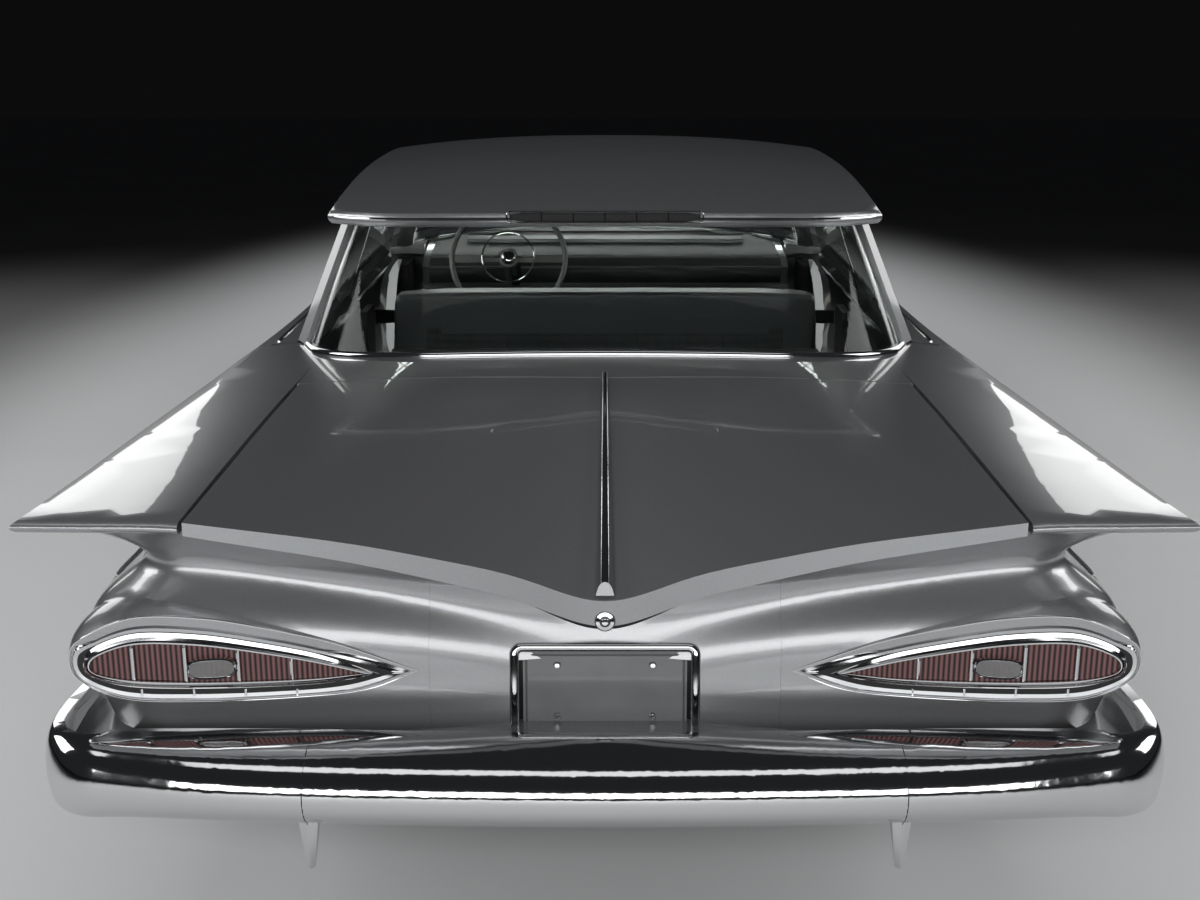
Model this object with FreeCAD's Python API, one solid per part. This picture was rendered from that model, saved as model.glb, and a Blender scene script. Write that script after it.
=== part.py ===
# 1950s four-door hardtop with horizontal gull-wing tail fins, teardrop tail lamps and a flat cantilevered roof.
# Millimetres. +X is the car's right side, +Y the way it drives, +Z up, the origin on the ground under its centre.
import FreeCAD, Part

import math
import os

import Sketcher

V = FreeCAD.Vector
doc = FreeCAD.newDocument("hardtop_car")

# Driving dimensions, one named cell each.
SIZES = [
    ("OverallLength", 5357), ("OverallWidth", 2029), ("OverallHeight", 1400),
    ("Wheelbase", 3023), ("FrontOverhang", 876), ("FrontTrack", 1532), ("RearTrack", 1506),
    # Wheels and tyres, 8.00-14.
    ("TyreRadius", 350), ("TyreWidth", 205), ("BeadRadius", 180), ("RimWidth", 152), ("RimWall", 7),
    ("HubRadius", 34), ("SpindleRadius", 17), ("SpindleClearance", 0.3), ("CoverBulge", 30),
    ("WellRadius", 408), ("WellWall", 10), ("WellInnerHalf", 455), ("RearWellInnerHalf", 600),
    # Steering and suspension.
    ("KingpinHalf", "=FrontTrack / 2 - 76"), ("KnuckleHalfHeight", 98), ("KnuckleRadius", 19), ("ArmThickness", 24),
    ("SteerClearance", 0.5), ("AxleRadius", 42), ("DiffRadius", 135), ("DrumRadius", 140), ("DrumWidth", 34),
    ("SteeringWheelRadius", 215), ("SteeringRimRadius", 10), ("ColumnRadius", 24), ("ColumnLength", 410),
    # Body panels.
    ("WallThickness", 46), ("DoorThickness", 92), ("SkinThickness", 22), ("DoorGap", 9), ("LidGap", 6),
    ("FinTipInset", 128), ("FinHalfWidth", "=OverallWidth * 0.49285"), ("LidHalfWidth", "=OverallWidth * 0.3583"),
    ("HoodHalfWidth", "=OverallWidth * 0.3524"),
    ("BeltHalfWidth", "=OverallWidth * 0.41646"), ("SillBottom", 200), ("DoorBottom", 262),
    ("FloorTop", 250), ("FloorThickness", 22), ("TrunkFloorTop", 430), ("TunnelHeight", 150),
    # Lid and hood.
    ("LidFlange", 24), ("SpearWidth", 34), ("SpearHeight", 26),
    # Glasshouse.
    ("RoofHalfWidth", "=OverallWidth * 0.3524"), ("RoofThickness", 34), ("GlassThickness", 6), ("PillarWidth", 60), ("PillarDepth", 34),
    # Lamps.
    ("LensDepth", 34), ("BezelWidth", 34), ("HeadlampRadius", 73),
    # Bumpers.
    ("BumperThickness", 20), ("BumperDepth", 150),
    # Plate recess.
    ("PlateWidth", 305), ("PlateHeight", 152), ("PlateThickness", 3), ("PlateHoleSpacing", 177.8), ("PlateHoleRadius", 3.5), ("PlateRecessY", -2375),
    # Doors.
    ("HingeSet", 110), ("HingeHalf", "=OverallWidth / 2 - 43.5"),
    # Inside.
    ("SeatWidth", 1420), ("CushionHeight", 170), ("BackThickness", 150),
]
sheet = doc.addObject("Spreadsheet::Sheet", "Sizes")
for number, (alias, value) in enumerate(SIZES, start=1):
    sheet.set("A%d" % number, alias)
    sheet.set("B%d" % number, str(value))
    sheet.setAlias("B%d" % number, alias)
doc.recompute()


def size(alias):
    """The value of one named cell."""
    return float(sheet.get(alias))


HALF_L = size("OverallLength") / 2
HALF_W = size("OverallWidth") / 2
TALL = size("OverallHeight")
FRONT_AXLE = HALF_L - size("FrontOverhang")
REAR_AXLE = FRONT_AXLE - size("Wheelbase")
HUB_Z = size("TyreRadius")
FIN_TIP = -HALF_L + size("FinTipInset")


# Splines and freeform solids.
def spline_1d(stations, values):
    """Natural cubic spline through (station, value) pairs, stations rising."""
    n = len(stations)
    step = [stations[i + 1] - stations[i] for i in range(n - 1)]
    lower, right = [0.0] * n, [0.0] * n
    for i in range(1, n - 1):
        slope = 3 * ((values[i + 1] - values[i]) / step[i] - (values[i] - values[i - 1]) / step[i - 1])
        pivot = 2 * (stations[i + 1] - stations[i - 1]) - step[i - 1] * lower[i - 1]
        lower[i] = step[i] / pivot
        right[i] = (slope - step[i - 1] * right[i - 1]) / pivot
    bend = [0.0] * n
    for i in range(n - 2, 0, -1):
        bend[i] = right[i] - lower[i] * bend[i + 1]

    def at(s):
        s = min(max(s, stations[0]), stations[-1])
        i = max(k for k in range(n - 1) if stations[k] <= s)
        t, gap = s - stations[i], step[i]
        first = (values[i + 1] - values[i]) / gap - gap * (bend[i + 1] + 2 * bend[i]) / 3
        third = (bend[i + 1] - bend[i]) / (3 * gap)
        return values[i] + t * (first + t * (bend[i] + t * third))

    return at


def fit(points, marks):
    """A spline curve through points at the given parameters."""
    curve = Part.BSplineCurve()
    if len(points) == 2:
        curve.buildFromPolesMultsKnots(points, [2, 2], [marks[0], marks[-1]], False, 1)
    else:
        curve.interpolate(Points=points, Parameters=marks)
    return curve


def patch(rows, row_marks, marks):
    """A spline surface through a grid of points. Patches with equal marks share their borders exactly."""
    across = [fit(row, marks) for row in rows]
    poles = [c.getPoles() for c in across]
    along = [fit([row[j] for row in poles], row_marks) for j in range(len(poles[0]))]
    net = [list(column) for column in zip(*[c.getPoles() for c in along])]
    surface = Part.BSplineSurface()
    surface.buildFromPolesMultsKnots(
        net, along[0].getMultiplicities(), across[0].getMultiplicities(),
        along[0].getKnots(), across[0].getKnots(), False, False, along[0].Degree, across[0].Degree)
    return surface.toShape()


def solid_of(faces):
    shell = Part.makeShell(faces)
    shell.sewShape()
    solid = Part.makeSolid(shell)
    if solid.Volume < 0:
        solid.reverse()
    return solid


def slab(layers, row_marks, marks):
    """A closed solid between the first and last of two or three grids of points of one layout."""
    faces = [patch(layers[0], row_marks, marks), patch(layers[-1], row_marks, marks)]
    depth = [i / (len(layers) - 1) for i in range(len(layers))]
    for i in (0, -1):
        faces.append(patch([grid[i] for grid in layers], depth, marks))
        faces.append(patch([[row[i] for row in grid] for grid in layers], depth, row_marks))
    return solid_of(faces)


def ring(sections, row_marks, marks):
    """A closed solid through sections, each a loop of chains that share their end points. Its two ends are flat."""
    faces = []
    for chain in range(len(sections[0])):
        faces.append(patch([s[chain] for s in sections], row_marks, marks[chain]))
    for s in (sections[0], sections[-1]):
        edges = [fit(chain, marks[i]).toShape() for i, chain in enumerate(s)]
        faces.append(Part.Face(Part.Wire(edges)))
    return solid_of(faces)


def marks_of(points):
    """Parameters from 0 to 1 spaced as a typical row of points is."""
    steps = [a.distanceToPoint(b) for a, b in zip(points, points[1:])]
    total, run, marks = sum(steps), 0.0, [0.0]
    for s in steps:
        run += s
        marks.append(run / total)
    marks[-1] = 1.0
    return marks


def mirrored(shape):
    return shape.mirror(V(0, 0, 0), V(1, 0, 0))


def box(x0, x1, y0, y1, z0, z1):
    return Part.makeBox(x1 - x0, y1 - y0, z1 - z0, V(x0, y0, z0))


def prism_x(points, x0, x1):
    """A closed outline of (y, z) points, run along X from x0 to x1."""
    loop = [V(x0, y, z) for y, z in points]
    return Part.Face(Part.makePolygon(loop + loop[:1])).extrude(V(x1 - x0, 0, 0))


def feature(label, shape):
    """A freeform piece under its own name."""
    piece = doc.addObject("Part::Feature", label)
    piece.Label = label
    piece.Shape = shape
    return piece


# Lines of the body side. Each line gives x as a share of the half width and z as a share of the height, at the
# stations tail, rear axle, rear door edge, middle, cowl, front axle, behind the nose, nose and its rounded corner.
TAIL_Y = FIN_TIP + 0.04 * size("OverallLength")
DOOR_REAR = REAR_AXLE + 0.106 * size("OverallLength")
MIDDLE = 0.0
COWL = 0.19 * size("OverallLength")
NOSE = HALF_L - 0.035 * size("OverallLength")
NOSE_TIP = NOSE + 0.0142 * size("OverallLength")
NOSE_SIDE = NOSE - 0.0336 * size("OverallLength")
STATIONS = [TAIL_Y, REAR_AXLE, DOOR_REAR, MIDDLE, COWL, FRONT_AXLE, NOSE_SIDE, NOSE, NOSE_TIP]
SIDE_LINES = [
    ((0.880, 0.892, 0.892, 0.892, 0.892, 0.885, 0.871, 0.848, 0.805),
     (0.262, 0.160, 0.143, 0.143, 0.143, 0.150, 0.208, 0.235, 0.262)),
    ((0.932, 0.950, 0.952, 0.952, 0.952, 0.945, 0.924, 0.898, 0.852),
     (0.366, 0.260, 0.240, 0.236, 0.236, 0.245, 0.283, 0.300, 0.312)),
    ((0.950, 0.985, 0.988, 0.988, 0.986, 0.978, 0.953, 0.925, 0.882),
     (0.456, 0.380, 0.372, 0.372, 0.372, 0.380, 0.384, 0.385, 0.386)),
    ((0.930, 0.975, 0.984, 0.986, 0.982, 0.972, 0.947, 0.919, 0.878),
     (0.512, 0.468, 0.475, 0.478, 0.478, 0.478, 0.462, 0.455, 0.449)),
    ((0.882, 0.950, 0.970, 0.975, 0.970, 0.960, 0.936, 0.908, 0.868),
     (0.543, 0.520, 0.530, 0.535, 0.535, 0.532, 0.509, 0.498, 0.487)),
    ((0.838, 0.918, 0.950, 0.960, 0.955, 0.946, 0.921, 0.893, 0.855),
     (0.579, 0.565, 0.575, 0.578, 0.578, 0.574, 0.547, 0.535, 0.519)),
    ((0.880, 0.920, 0.935, 0.942, 0.938, 0.930, 0.904, 0.876, 0.840),
     (0.615, 0.604, 0.610, 0.612, 0.611, 0.606, 0.578, 0.565, 0.546)),
]
side_lines = [(spline_1d(STATIONS, [x * HALF_W for x in xs]), spline_1d(STATIONS, [z * TALL for z in zs]))
              for xs, zs in SIDE_LINES]
EDGE = (0.980, 0.956, 0.928, 0.925, 0.918, 0.905, 0.875, 0.850, 0.818)
edge_x = spline_1d(STATIONS, [x * HALF_W for x in EDGE])


# The upper surface, from the deck over the shoulders to the hood.
DECK_FRONT = REAR_AXLE - 0.0085 * size("OverallLength")
DECK_TOP = 0.687 * TALL
TAIL_X = [0.0, 0.10, 0.22, 0.34, 0.48, 0.60, 0.727, 0.86, 1.0]
tail_edge_y = spline_1d([x * size("FinHalfWidth") for x in TAIL_X],
                        [FIN_TIP + s * size("OverallLength") for s in
                         (0.0345, 0.0318, 0.0265, 0.0205, 0.0135, 0.0080, 0.0036, 0.0009, 0.0)])
tail_edge_z = spline_1d([x * size("FinHalfWidth") for x in TAIL_X],
                        [s * TALL for s in (0.508, 0.533, 0.563, 0.592, 0.619, 0.6385, 0.656, 0.662, 0.664)])


def front_drop(y):
    """How far the hood and fender tops fall below the cowl's level."""
    ahead = max(0.0, (y - COWL) / (NOSE - COWL))
    return 0.062 * TALL * ahead * ahead


def crown(x):
    return DECK_TOP - 0.046 * TALL * abs(x / size("FinHalfWidth")) ** 2.3


def top_z(x, y):
    """Height of the upper surface."""
    x = min(abs(x), size("FinHalfWidth"))
    z = crown(x) - front_drop(y)
    if y < DECK_FRONT:
        back = min(1.0, (y - DECK_FRONT) / (tail_edge_y(x) - DECK_FRONT))
        bend = 1.75 - 0.55 * x / size("FinHalfWidth")
        z += (tail_edge_z(x) - crown(x)) * back ** bend
    return z


def edge_at(y):
    """Half width of the shoulder or fin edge."""
    if y > TAIL_Y:
        return edge_x(y)
    back = (TAIL_Y - y) / (TAIL_Y - FIN_TIP)
    return edge_x(TAIL_Y) + (size("FinHalfWidth") - edge_x(TAIL_Y)) * back


def side_outline(y):
    """Outer points from the sill up to just under the shoulder's edge."""
    points = [V(fx(y), y, fz(y)) for fx, fz in side_lines]
    x = edge_at(y)
    points.append(V(x - 0.3 * size("SkinThickness"), y, top_z(x, y) - size("SkinThickness") / 2))
    return points


SIDE_MARKS = marks_of(side_outline(MIDDLE))


def wall(y_list, inset, top_in):
    """The body side between stations, as thick as inset, its top running inward to top_in(y)."""
    sections = []
    for y in y_list:
        outer = side_outline(y)
        edge, inner_x = edge_at(y), top_in(y)
        top = [V(edge - s * (edge - inner_x), y, top_z(edge - s * (edge - inner_x), y)) for s in (0.0, 0.35, 0.7, 1.0)]
        drop = size("SkinThickness") * 2
        flange = [top[-1], top[-1] - V(0, 0, drop)]
        low = outer[0] - V(inset, 0, 0)
        mid_z = (outer[3].z + outer[2].z) / 2
        inner = [flange[-1], V(max(inner_x, outer[5].x - inset), y, outer[5].z + 25), V(outer[2].x - inset, y, mid_z),
                 V(outer[1].x - inset, y, outer[1].z), low]
        sections.append([outer, [outer[-1], top[0]], top, flange, inner, [low, outer[0]]])
    row_marks = [(y - y_list[0]) / (y_list[-1] - y_list[0]) for y in y_list]
    middle = sections[len(sections) // 2]
    marks = [SIDE_MARKS, [0.0, 1.0], [0.0, 0.35, 0.7, 1.0], [0.0, 1.0], marks_of(middle[4]), [0.0, 1.0]]
    return ring(sections, row_marks, marks)


def steps(start, stop, count):
    return [start + (stop - start) * i / (count - 1) for i in range(count)]


# Cut lines between the panels, in side view.
FRONT_CUT = COWL
POST_CUT = -0.008 * size("OverallLength")
gap = size("DoorGap")


def rear_cut(z):
    """The rear door's back edge, which bends forward round the wheel opening."""
    share = max(0.0, (z - size("SillBottom")) / (0.66 * TALL - size("SillBottom")))
    low, high = REAR_AXLE + size("WellRadius") + 62, REAR_AXLE + size("WellRadius") - 130
    return low + (high - low) * share ** 1.6


REAR_CUT_Z = [size("DoorBottom") + i * (TALL * 0.72 - size("DoorBottom")) / 15 for i in range(16)]


def door_prism(y_front, y_back_list, bottom, top):
    """Side-view outline of a door, front edge straight, back edge through (y, z) points."""
    rear = Part.BSplineCurve()
    rear.interpolate(Points=[V(0, y, z) for y, z in y_back_list])
    first, last = rear.StartPoint, rear.EndPoint
    edges = [rear.toShape(), Part.makeLine(last, V(0, y_front, last.z)),
             Part.makeLine(V(0, y_front, last.z), V(0, y_front, first.z)), Part.makeLine(V(0, y_front, first.z), first)]
    return Part.Face(Part.Wire(edges)).extrude(V(HALF_W * 1.2, 0, 0))


def well(x0, x1, y, radius):
    return Part.makeCylinder(radius, x1 - x0, V(x0, y, HUB_Z), V(1, 0, 0))


def wheelhouse(inner, outer, y):
    """A half drum over the wheel with a closed inner side, as a spat of sheet metal inside the wing."""
    radius, sheet_metal = size("WellRadius"), size("WellWall")
    drum = well(inner - sheet_metal, outer, y, radius + sheet_metal).cut(well(inner, outer + 1, y, radius))
    keep = box(0, HALF_W, y - 2 * radius, y + 2 * radius, size("SillBottom") + 20, top_z(700, y) - size("SkinThickness"))
    return drum.common(keep)


def belt_in(y):
    return size("BeltHalfWidth")


# Front wing.
def fender():
    wing = wall(steps(FRONT_CUT + gap / 2, NOSE_TIP, 14), size("WallThickness"), lambda y: size("HoodHalfWidth") + size("LidGap"))
    wing = wing.cut(well(0, HALF_W * 1.2, FRONT_AXLE, size("WellRadius")))
    house = wheelhouse(size("WellInnerHalf"), 0.9 * HALF_W, FRONT_AXLE)
    house = house.cut(box(0, HALF_W, NOSE, HALF_L, 0, TALL))
    house = house.cut(box(0, size("WellInnerHalf") + 1, FRONT_AXLE - 140, FRONT_AXLE + 140, 0, HUB_Z + size("KnuckleHalfHeight") + 50))
    wing = wing.cut(box(0, HALF_W, NOSE_TIP - 34, HALF_L, 0, 0.358 * TALL + 7))
    return wing.fuse(house).fuse(ledge(size("HoodHalfWidth") - 24, size("HoodHalfWidth") + size("LidGap") + 3,
                                       size("HoodHalfWidth") + 30, HOOD_REAR + 40, NOSE - 20))



# Doors: one length of body side, cut by the door outlines.
door_wall = wall(steps(REAR_AXLE + 180, FRONT_CUT - gap / 2, 14), size("DoorThickness"), belt_in)
front_outline = door_prism(FRONT_CUT - gap / 2, [(POST_CUT + gap / 2, z) for z in REAR_CUT_Z], 0, 0)
rear_outline = door_prism(POST_CUT - gap / 2, [(rear_cut(z), z) for z in REAR_CUT_Z], 0, 0)
relief = box(0, HALF_W * 0.905, POST_CUT, POST_CUT + gap / 2 + 10, 0, TALL)
front_door = door_wall.common(front_outline).cut(relief)
rear_door = door_wall.common(rear_outline)


# Rear quarters: the side runs round the corner and along the tail under the wing's trailing edge.
TAIL_LEVELS = [0.0, 0.28, 0.51, 0.655, 0.735, 0.825, 0.92, 1.0]
OUTER_DEPTH = [0.0445, 0.0389, 0.0352, 0.0371, 0.0427, 0.0464, 0.0389, 0.0268]
CENTRE_DEPTH = [0.0483, 0.0486, 0.0520, 0.0542, 0.0561, 0.0580, 0.0598, 0.0613]
CORNER_RADIUS = [0.150, 0.150, 0.150, 0.135, 0.115, 0.085, 0.062, 0.045]
CORNER_X = 0.84 * HALF_W


def tail_share(x):
    """0 at the centre of the tail, 1 near its corner, along the trailing edge's own curve."""
    return (tail_edge_y(min(x, CORNER_X)) - tail_edge_y(0)) / (tail_edge_y(CORNER_X) - tail_edge_y(0))


def tail_y(level, x):
    ends = [-HALF_L + s[level] * size("OverallLength") for s in (CENTRE_DEPTH, OUTER_DEPTH)]
    return ends[0] + (ends[1] - ends[0]) * tail_share(x)


def tail_z(level, x):
    bottom = 0.262 * TALL
    return bottom + TAIL_LEVELS[level] * (top_z(x, tail_edge_y(min(x, 1000))) - size("SkinThickness") / 2 - bottom)


def side_column(y):
    outer = side_outline(y)
    return outer, [V(-1, 0, 0)] * len(outer)


def corner_column(share):
    """Points round the corner, with the way inward at each."""
    turn = math.radians(90 * share)
    points, inward = [], []
    for level in range(8):
        radius = CORNER_RADIUS[level] * HALF_W
        depth = tail_y(level, CORNER_X)
        start = side_outline(depth + radius)[level]
        centre_x = start.x - radius
        z = start.z + (tail_z(level, centre_x) - start.z) * share
        points.append(V(centre_x + radius * math.cos(turn), depth + radius - radius * math.sin(turn), z))
        inward.append(V(-math.cos(turn), math.sin(turn), 0))
    return points, inward


def rear_column(share):
    """Points of the rear face, share running from 1 at the corner to 0 at the centre."""
    points = []
    for level in range(8):
        radius = CORNER_RADIUS[level] * HALF_W
        x = share * (side_outline(tail_y(level, CORNER_X) + radius)[level].x - radius)
        points.append(V(x, tail_y(level, x), tail_z(level, x)))
    return points, [V(0, 1, 0)] * 8


def tail_wrap(first_y):
    columns = []
    corner_start = [tail_y(k, CORNER_X) + CORNER_RADIUS[k] * HALF_W for k in range(8)]
    for share in (0.0, 0.12, 0.25, 0.40, 0.55, 0.70, 0.85):
        points = []
        for level in range(8):
            y = first_y + (corner_start[level] - first_y) * share
            points.append(side_outline(y)[level])
        columns.append((points, [V(-1, 0, 0)] * 8))
    columns += [corner_column(s) for s in (0.0, 0.25, 0.5, 0.75, 1.0)]
    columns += [rear_column(s) for s in (0.88, 0.74, 0.58, 0.40, 0.20, 0.0)]
    thick = size("WallThickness")
    outer = [c[0] for c in columns]
    inner = [[p + d * thick for p, d in zip(*c)] for c in columns]
    for row in inner:
        row[-1].z = top_z(row[-1].x, row[-1].y) - size("SkinThickness") / 2
    middle = [row[3] for row in outer]
    return slab([outer, inner], marks_of(middle), SIDE_MARKS)


# The line at the foot of the glass behind the cabin, as the wing's inner boundary.
WING_Y = [FIN_TIP, REAR_AXLE - 90, REAR_AXLE + 40, REAR_AXLE + 160, REAR_AXLE + 320, REAR_AXLE + 440, REAR_AXLE + 580]
WING_X = [size("LidHalfWidth") + size("LidGap")] * 2 + [0.7228 * HALF_W, 0.742 * HALF_W, 0.805 * HALF_W,
                                                       size("BeltHalfWidth"), size("BeltHalfWidth")]
wing_in = spline_1d(WING_Y, WING_X)


def wing_plate():
    """The fin: a plate from the lid's side to the fin's edge, its outer and trailing edges rounded."""
    rows_top, rows_mid, rows_low = [], [], []
    lip = size("SkinThickness")
    ys = steps(REAR_AXLE + 580, FIN_TIP, 13)
    for y_row in ys:
        follow = max(0.0, min(1.0, (y_row - (FIN_TIP + 500)) / -500.0)) ** 2
        top, mid, low = [], [], []
        for share in (0.0, 0.25, 0.5, 0.75, 0.92, 1.0):
            inner = wing_in(y_row)
            x = inner + share * (edge_at(y_row) - inner)
            y = y_row + (tail_edge_y(x) - FIN_TIP) * follow
            z = top_z(x, y)
            top.append(V(x, y, z))
            bulge = V(lip / 2 if share == 1.0 else 0, -lip / 2 if y_row == ys[-1] else 0, -lip / 2)
            mid.append(top[-1] + bulge)
            low.append(top[-1] - V(0, 0, lip))
        rows_top.append(top)
        rows_mid.append(mid)
        rows_low.append(low)
    marks = [(ys[0] - y) / (ys[0] - ys[-1]) for y in ys]
    return slab([rows_top, rows_mid, rows_low], marks, [0.0, 0.25, 0.5, 0.75, 0.92, 1.0])


def lid_grid(half, drop, y_front, overhang, lift=0.0):
    """Points of the upper surface between the deck panel and the trailing edge."""
    rows = []
    for share in (0.0, 0.2, 0.4, 0.6, 0.8, 1.0):
        row = []
        for x in (-1.0, -0.8, -0.6, -0.4, -0.2, 0.0, 0.2, 0.4, 0.6, 0.8, 1.0):
            x *= half
            y = y_front + share * (tail_edge_y(abs(x)) - overhang - y_front)
            z = top_z(x, max(y, tail_edge_y(abs(x)))) - drop(x) + lift
            row.append(V(x, y, z))
        rows.append(row)
    return rows


LID_MARKS = [0.0, 0.1, 0.2, 0.3, 0.4, 0.5, 0.6, 0.7, 0.8, 0.9, 1.0]
LID_ROWS = [0.0, 0.2, 0.4, 0.6, 0.8, 1.0]
LID_FRONT = DECK_FRONT - 0.0447 * size("OverallLength")
skin = size("SkinThickness")


def flange_drop(x):
    return size("LidFlange") + 26 * (1 - (abs(x) / size("LidHalfWidth")) ** 1.2)


lid_half = size("LidHalfWidth")
lid = slab([lid_grid(lid_half, lambda x: 0, LID_FRONT, 0), lid_grid(lid_half, lambda x: skin, LID_FRONT, 0)],
           LID_ROWS, LID_MARKS)
rows = []
for out, down in ((0, 0), (0, 1)):
    row = []
    for s in LID_MARKS:
        x = (2 * s - 1) * lid_half
        row.append(V(x, tail_edge_y(abs(x)), top_z(x, tail_edge_y(abs(x))) - down * flange_drop(x) - (0 if down else 2)))
    rows.append(row)
flange = slab([rows, [[p + V(0, 16, 0) for p in row] for row in rows]], [0.0, 1.0], LID_MARKS)
lid = lid.fuse(flange)
feature("trunk_lid", lid)

# Room for the lid in the panels round it.
hold = lid_half + size("LidGap")
lid_room = slab([lid_grid(hold, lambda x: 0, LID_FRONT + 6, 0, 120),
                 lid_grid(hold, lambda x: skin + size("LidGap"), LID_FRONT + 6, 0)], LID_ROWS, LID_MARKS)
flange_rows = []
for up in (True, False):
    grid = []
    for ahead in (-60, 24):
        row = []
        for s in LID_MARKS:
            x = (2 * s - 1) * hold
            edge = tail_edge_y(abs(x))
            row.append(V(x, edge + ahead, top_z(x, edge) + (100 if up else -flange_drop(x) - size("LidGap"))))
        grid.append(row)
    flange_rows.append(grid)
flange_room = slab(flange_rows, [0.0, 1.0], LID_MARKS)

# Deck panel between the lid and the rear window.
GLASS_FOOT = spline_1d([x * HALF_W for x in (0, 0.3834, 0.6111, 0.7225)], [DECK_FRONT + dy for dy in (-10, 5, 63, 165)])
deck_rows = []
for drop in (0, skin):
    grid = []
    for share in (0.0, 0.5, 1.0):
        row = []
        for s in LID_MARKS:
            x = (2 * s - 1) * (hold - 0.3)
            foot = GLASS_FOOT(abs(x))
            y = LID_FRONT + 6 + share * (foot - LID_FRONT - 6)
            row.append(V(x, y, top_z(x, y) - drop))
        grid.append(row)
    deck_rows.append(grid)
deck = slab(deck_rows, [0.0, 0.5, 1.0], LID_MARKS)


def ledge(x_in, x_wall, x_out, y_from, y_to):
    """A rain gutter under a lid's edge, from x_in to the panel at x_wall."""
    layers, marks = [], steps(0.0, 1.0, 9)
    for drop in (skin + 2.5, skin + 14):
        layers.append([[V(x, y, top_z(x, y) - drop) for x in (x_in, x_wall, x_out)] for y in steps(y_from, y_to, 9)])
    low = slab(layers, marks, [0.0, 0.5, 1.0])
    layers = []
    for drop in (skin / 2, skin + 14):
        layers.append([[V(x, y, top_z(x, y) - drop) for x in (x_wall, x_out)] for y in steps(y_from, y_to, 9)])
    return low.fuse(slab(layers, marks, [0.0, 1.0]))


def pod_wire(points, y_of, scale):
    middle = V(sum(p[0] for p in points) / len(points), 0, sum(p[1] for p in points) / len(points))
    curve = Part.BSplineCurve()
    grown = [(middle.x + (x - middle.x) * scale[0], middle.z + (z - middle.z) * scale[1]) for x, z in points]
    loop = [V(x, y_of(x), z) for x, z in grown]
    curve.interpolate(Points=loop + loop[:1])
    return Part.Wire(curve.toShape())


# Teardrop lamp housings, outlines in (x, z) as shares of the half width and of the height.
POD = [(0.327, 0.4288), (0.423, 0.4045), (0.547, 0.3995), (0.711, 0.402), (0.846, 0.4125), (0.925, 0.446), (0.937, 0.484),
       (0.909, 0.508), (0.821, 0.5315), (0.700, 0.524), (0.588, 0.5035), (0.472, 0.4765)]
LENS = [(0.426, 0.4295), (0.519, 0.4268), (0.623, 0.4282), (0.741, 0.4330), (0.830, 0.4400), (0.885, 0.4500), (0.903, 0.4613),
        (0.888, 0.4783), (0.825, 0.4917), (0.731, 0.4868), (0.636, 0.4733), (0.526, 0.4528)]
POD = [(x * HALF_W, z * TALL) for x, z in POD]
LENS = [(x * HALF_W, z * TALL) for x, z in LENS]


def pod_face(x):
    """How far back the lamp housing's rim stands."""
    return -HALF_L + size("OverallLength") * (0.0553 - 0.029 * x / HALF_W)


def pod_loft(points, depths, scales):
    wires = [pod_wire(points, lambda x, d=d: pod_face(x) + d, s) for d, s in zip(depths, scales)]
    return Part.makeLoft(wires, True, False)


def rear_house():
    radius, sheet_metal = size("WellRadius"), size("WellWall")
    inner = size("RearWellInnerHalf")
    drum = well(inner - sheet_metal, 0.915 * HALF_W, REAR_AXLE, radius + sheet_metal)
    drum = drum.cut(well(inner, HALF_W, REAR_AXLE, radius))
    drum = drum.common(box(0, HALF_W, REAR_AXLE - 2 * radius, REAR_AXLE + 2 * radius, size("SillBottom") + 10, TALL))
    axle_slot = box(inner - 40, inner + 1, REAR_AXLE - 80, REAR_AXLE + 80, 0, HUB_Z + 120)
    return drum.cut(axle_slot)


def quarter():
    panel = tail_wrap(REAR_AXLE + 580)
    panel = panel.fuse(wing_plate())
    panel = panel.fuse(pod_loft(POD, (0, 20, 160), ((0.975, 0.93), (1, 1), (1.0, 1.0))))
    recess = pod_loft(LENS, (-60, size("LensDepth")), ((1.045, 1.085), (1.045, 1.085)))
    panel = panel.cut(recess)
    panel = panel.cut(lid_room).cut(flange_room)
    panel = panel.fuse(ledge(lid_half - 26, hold + 4, hold + 22, LID_FRONT - 60, -HALF_L + 300))
    front = door_prism(2000, [(rear_cut(z) - gap / 2, z) for z in [50, 150] + steps(size("SillBottom") + 1, TALL * 0.72, 17)], 0, 0)
    panel = panel.fuse(rear_house()).cut(front)
    arch_drop = V(0, 0, -45)
    arch = well(0, HALF_W * 1.2, REAR_AXLE, size("WellRadius"))
    arch.translate(arch_drop)
    panel = panel.cut(arch.common(box(0, HALF_W * 1.3, -HALF_L, 0, 0, 0.58 * TALL)))
    return panel


quarter_panel = quarter()
seam = 0.318 * HALF_W
recess_half, recess_low, recess_high = size("PlateWidth") / 2 + 24, 0.300 * TALL, 0.436 * TALL
tail_half = quarter_panel.common(box(0, seam - 0.3, -HALF_L, 0, 0, TALL))
tail_half = tail_half.common(box(0, seam, -HALF_L, REAR_AXLE - 700, 0, TALL))
tail_panel = tail_half.fuse(mirrored(tail_half))
tail_panel = tail_panel.cut(box(-recess_half, recess_half, -HALF_L, size("PlateRecessY"), recess_low, recess_high))
for side in (-1, 1):
    hole = Part.makeCylinder(size("PlateHoleRadius"), 120, V(side * size("PlateHoleSpacing") / 2, -HALF_L, 0.418 * TALL), V(0, 1, 0))
    hole.translate(V(0, HALF_L - 2400, 0))
    tail_panel = tail_panel.cut(hole)
feature("tail_panel", tail_panel)
quarter_right = quarter_panel.common(box(seam, HALF_W, -HALF_L, 0, 0, TALL))
feature("quarter_right", quarter_right)
feature("quarter_left", mirrored(quarter_right))
feature("deck_panel", deck.cut(quarter_right).cut(mirrored(quarter_right)))
lens = pod_loft(LENS, (4, size("LensDepth") - 0.5), ((0.98, 0.93), (0.99, 0.96)))
feature("tail_lamp_right", lens)
feature("tail_lamp_left", mirrored(lens))
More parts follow.
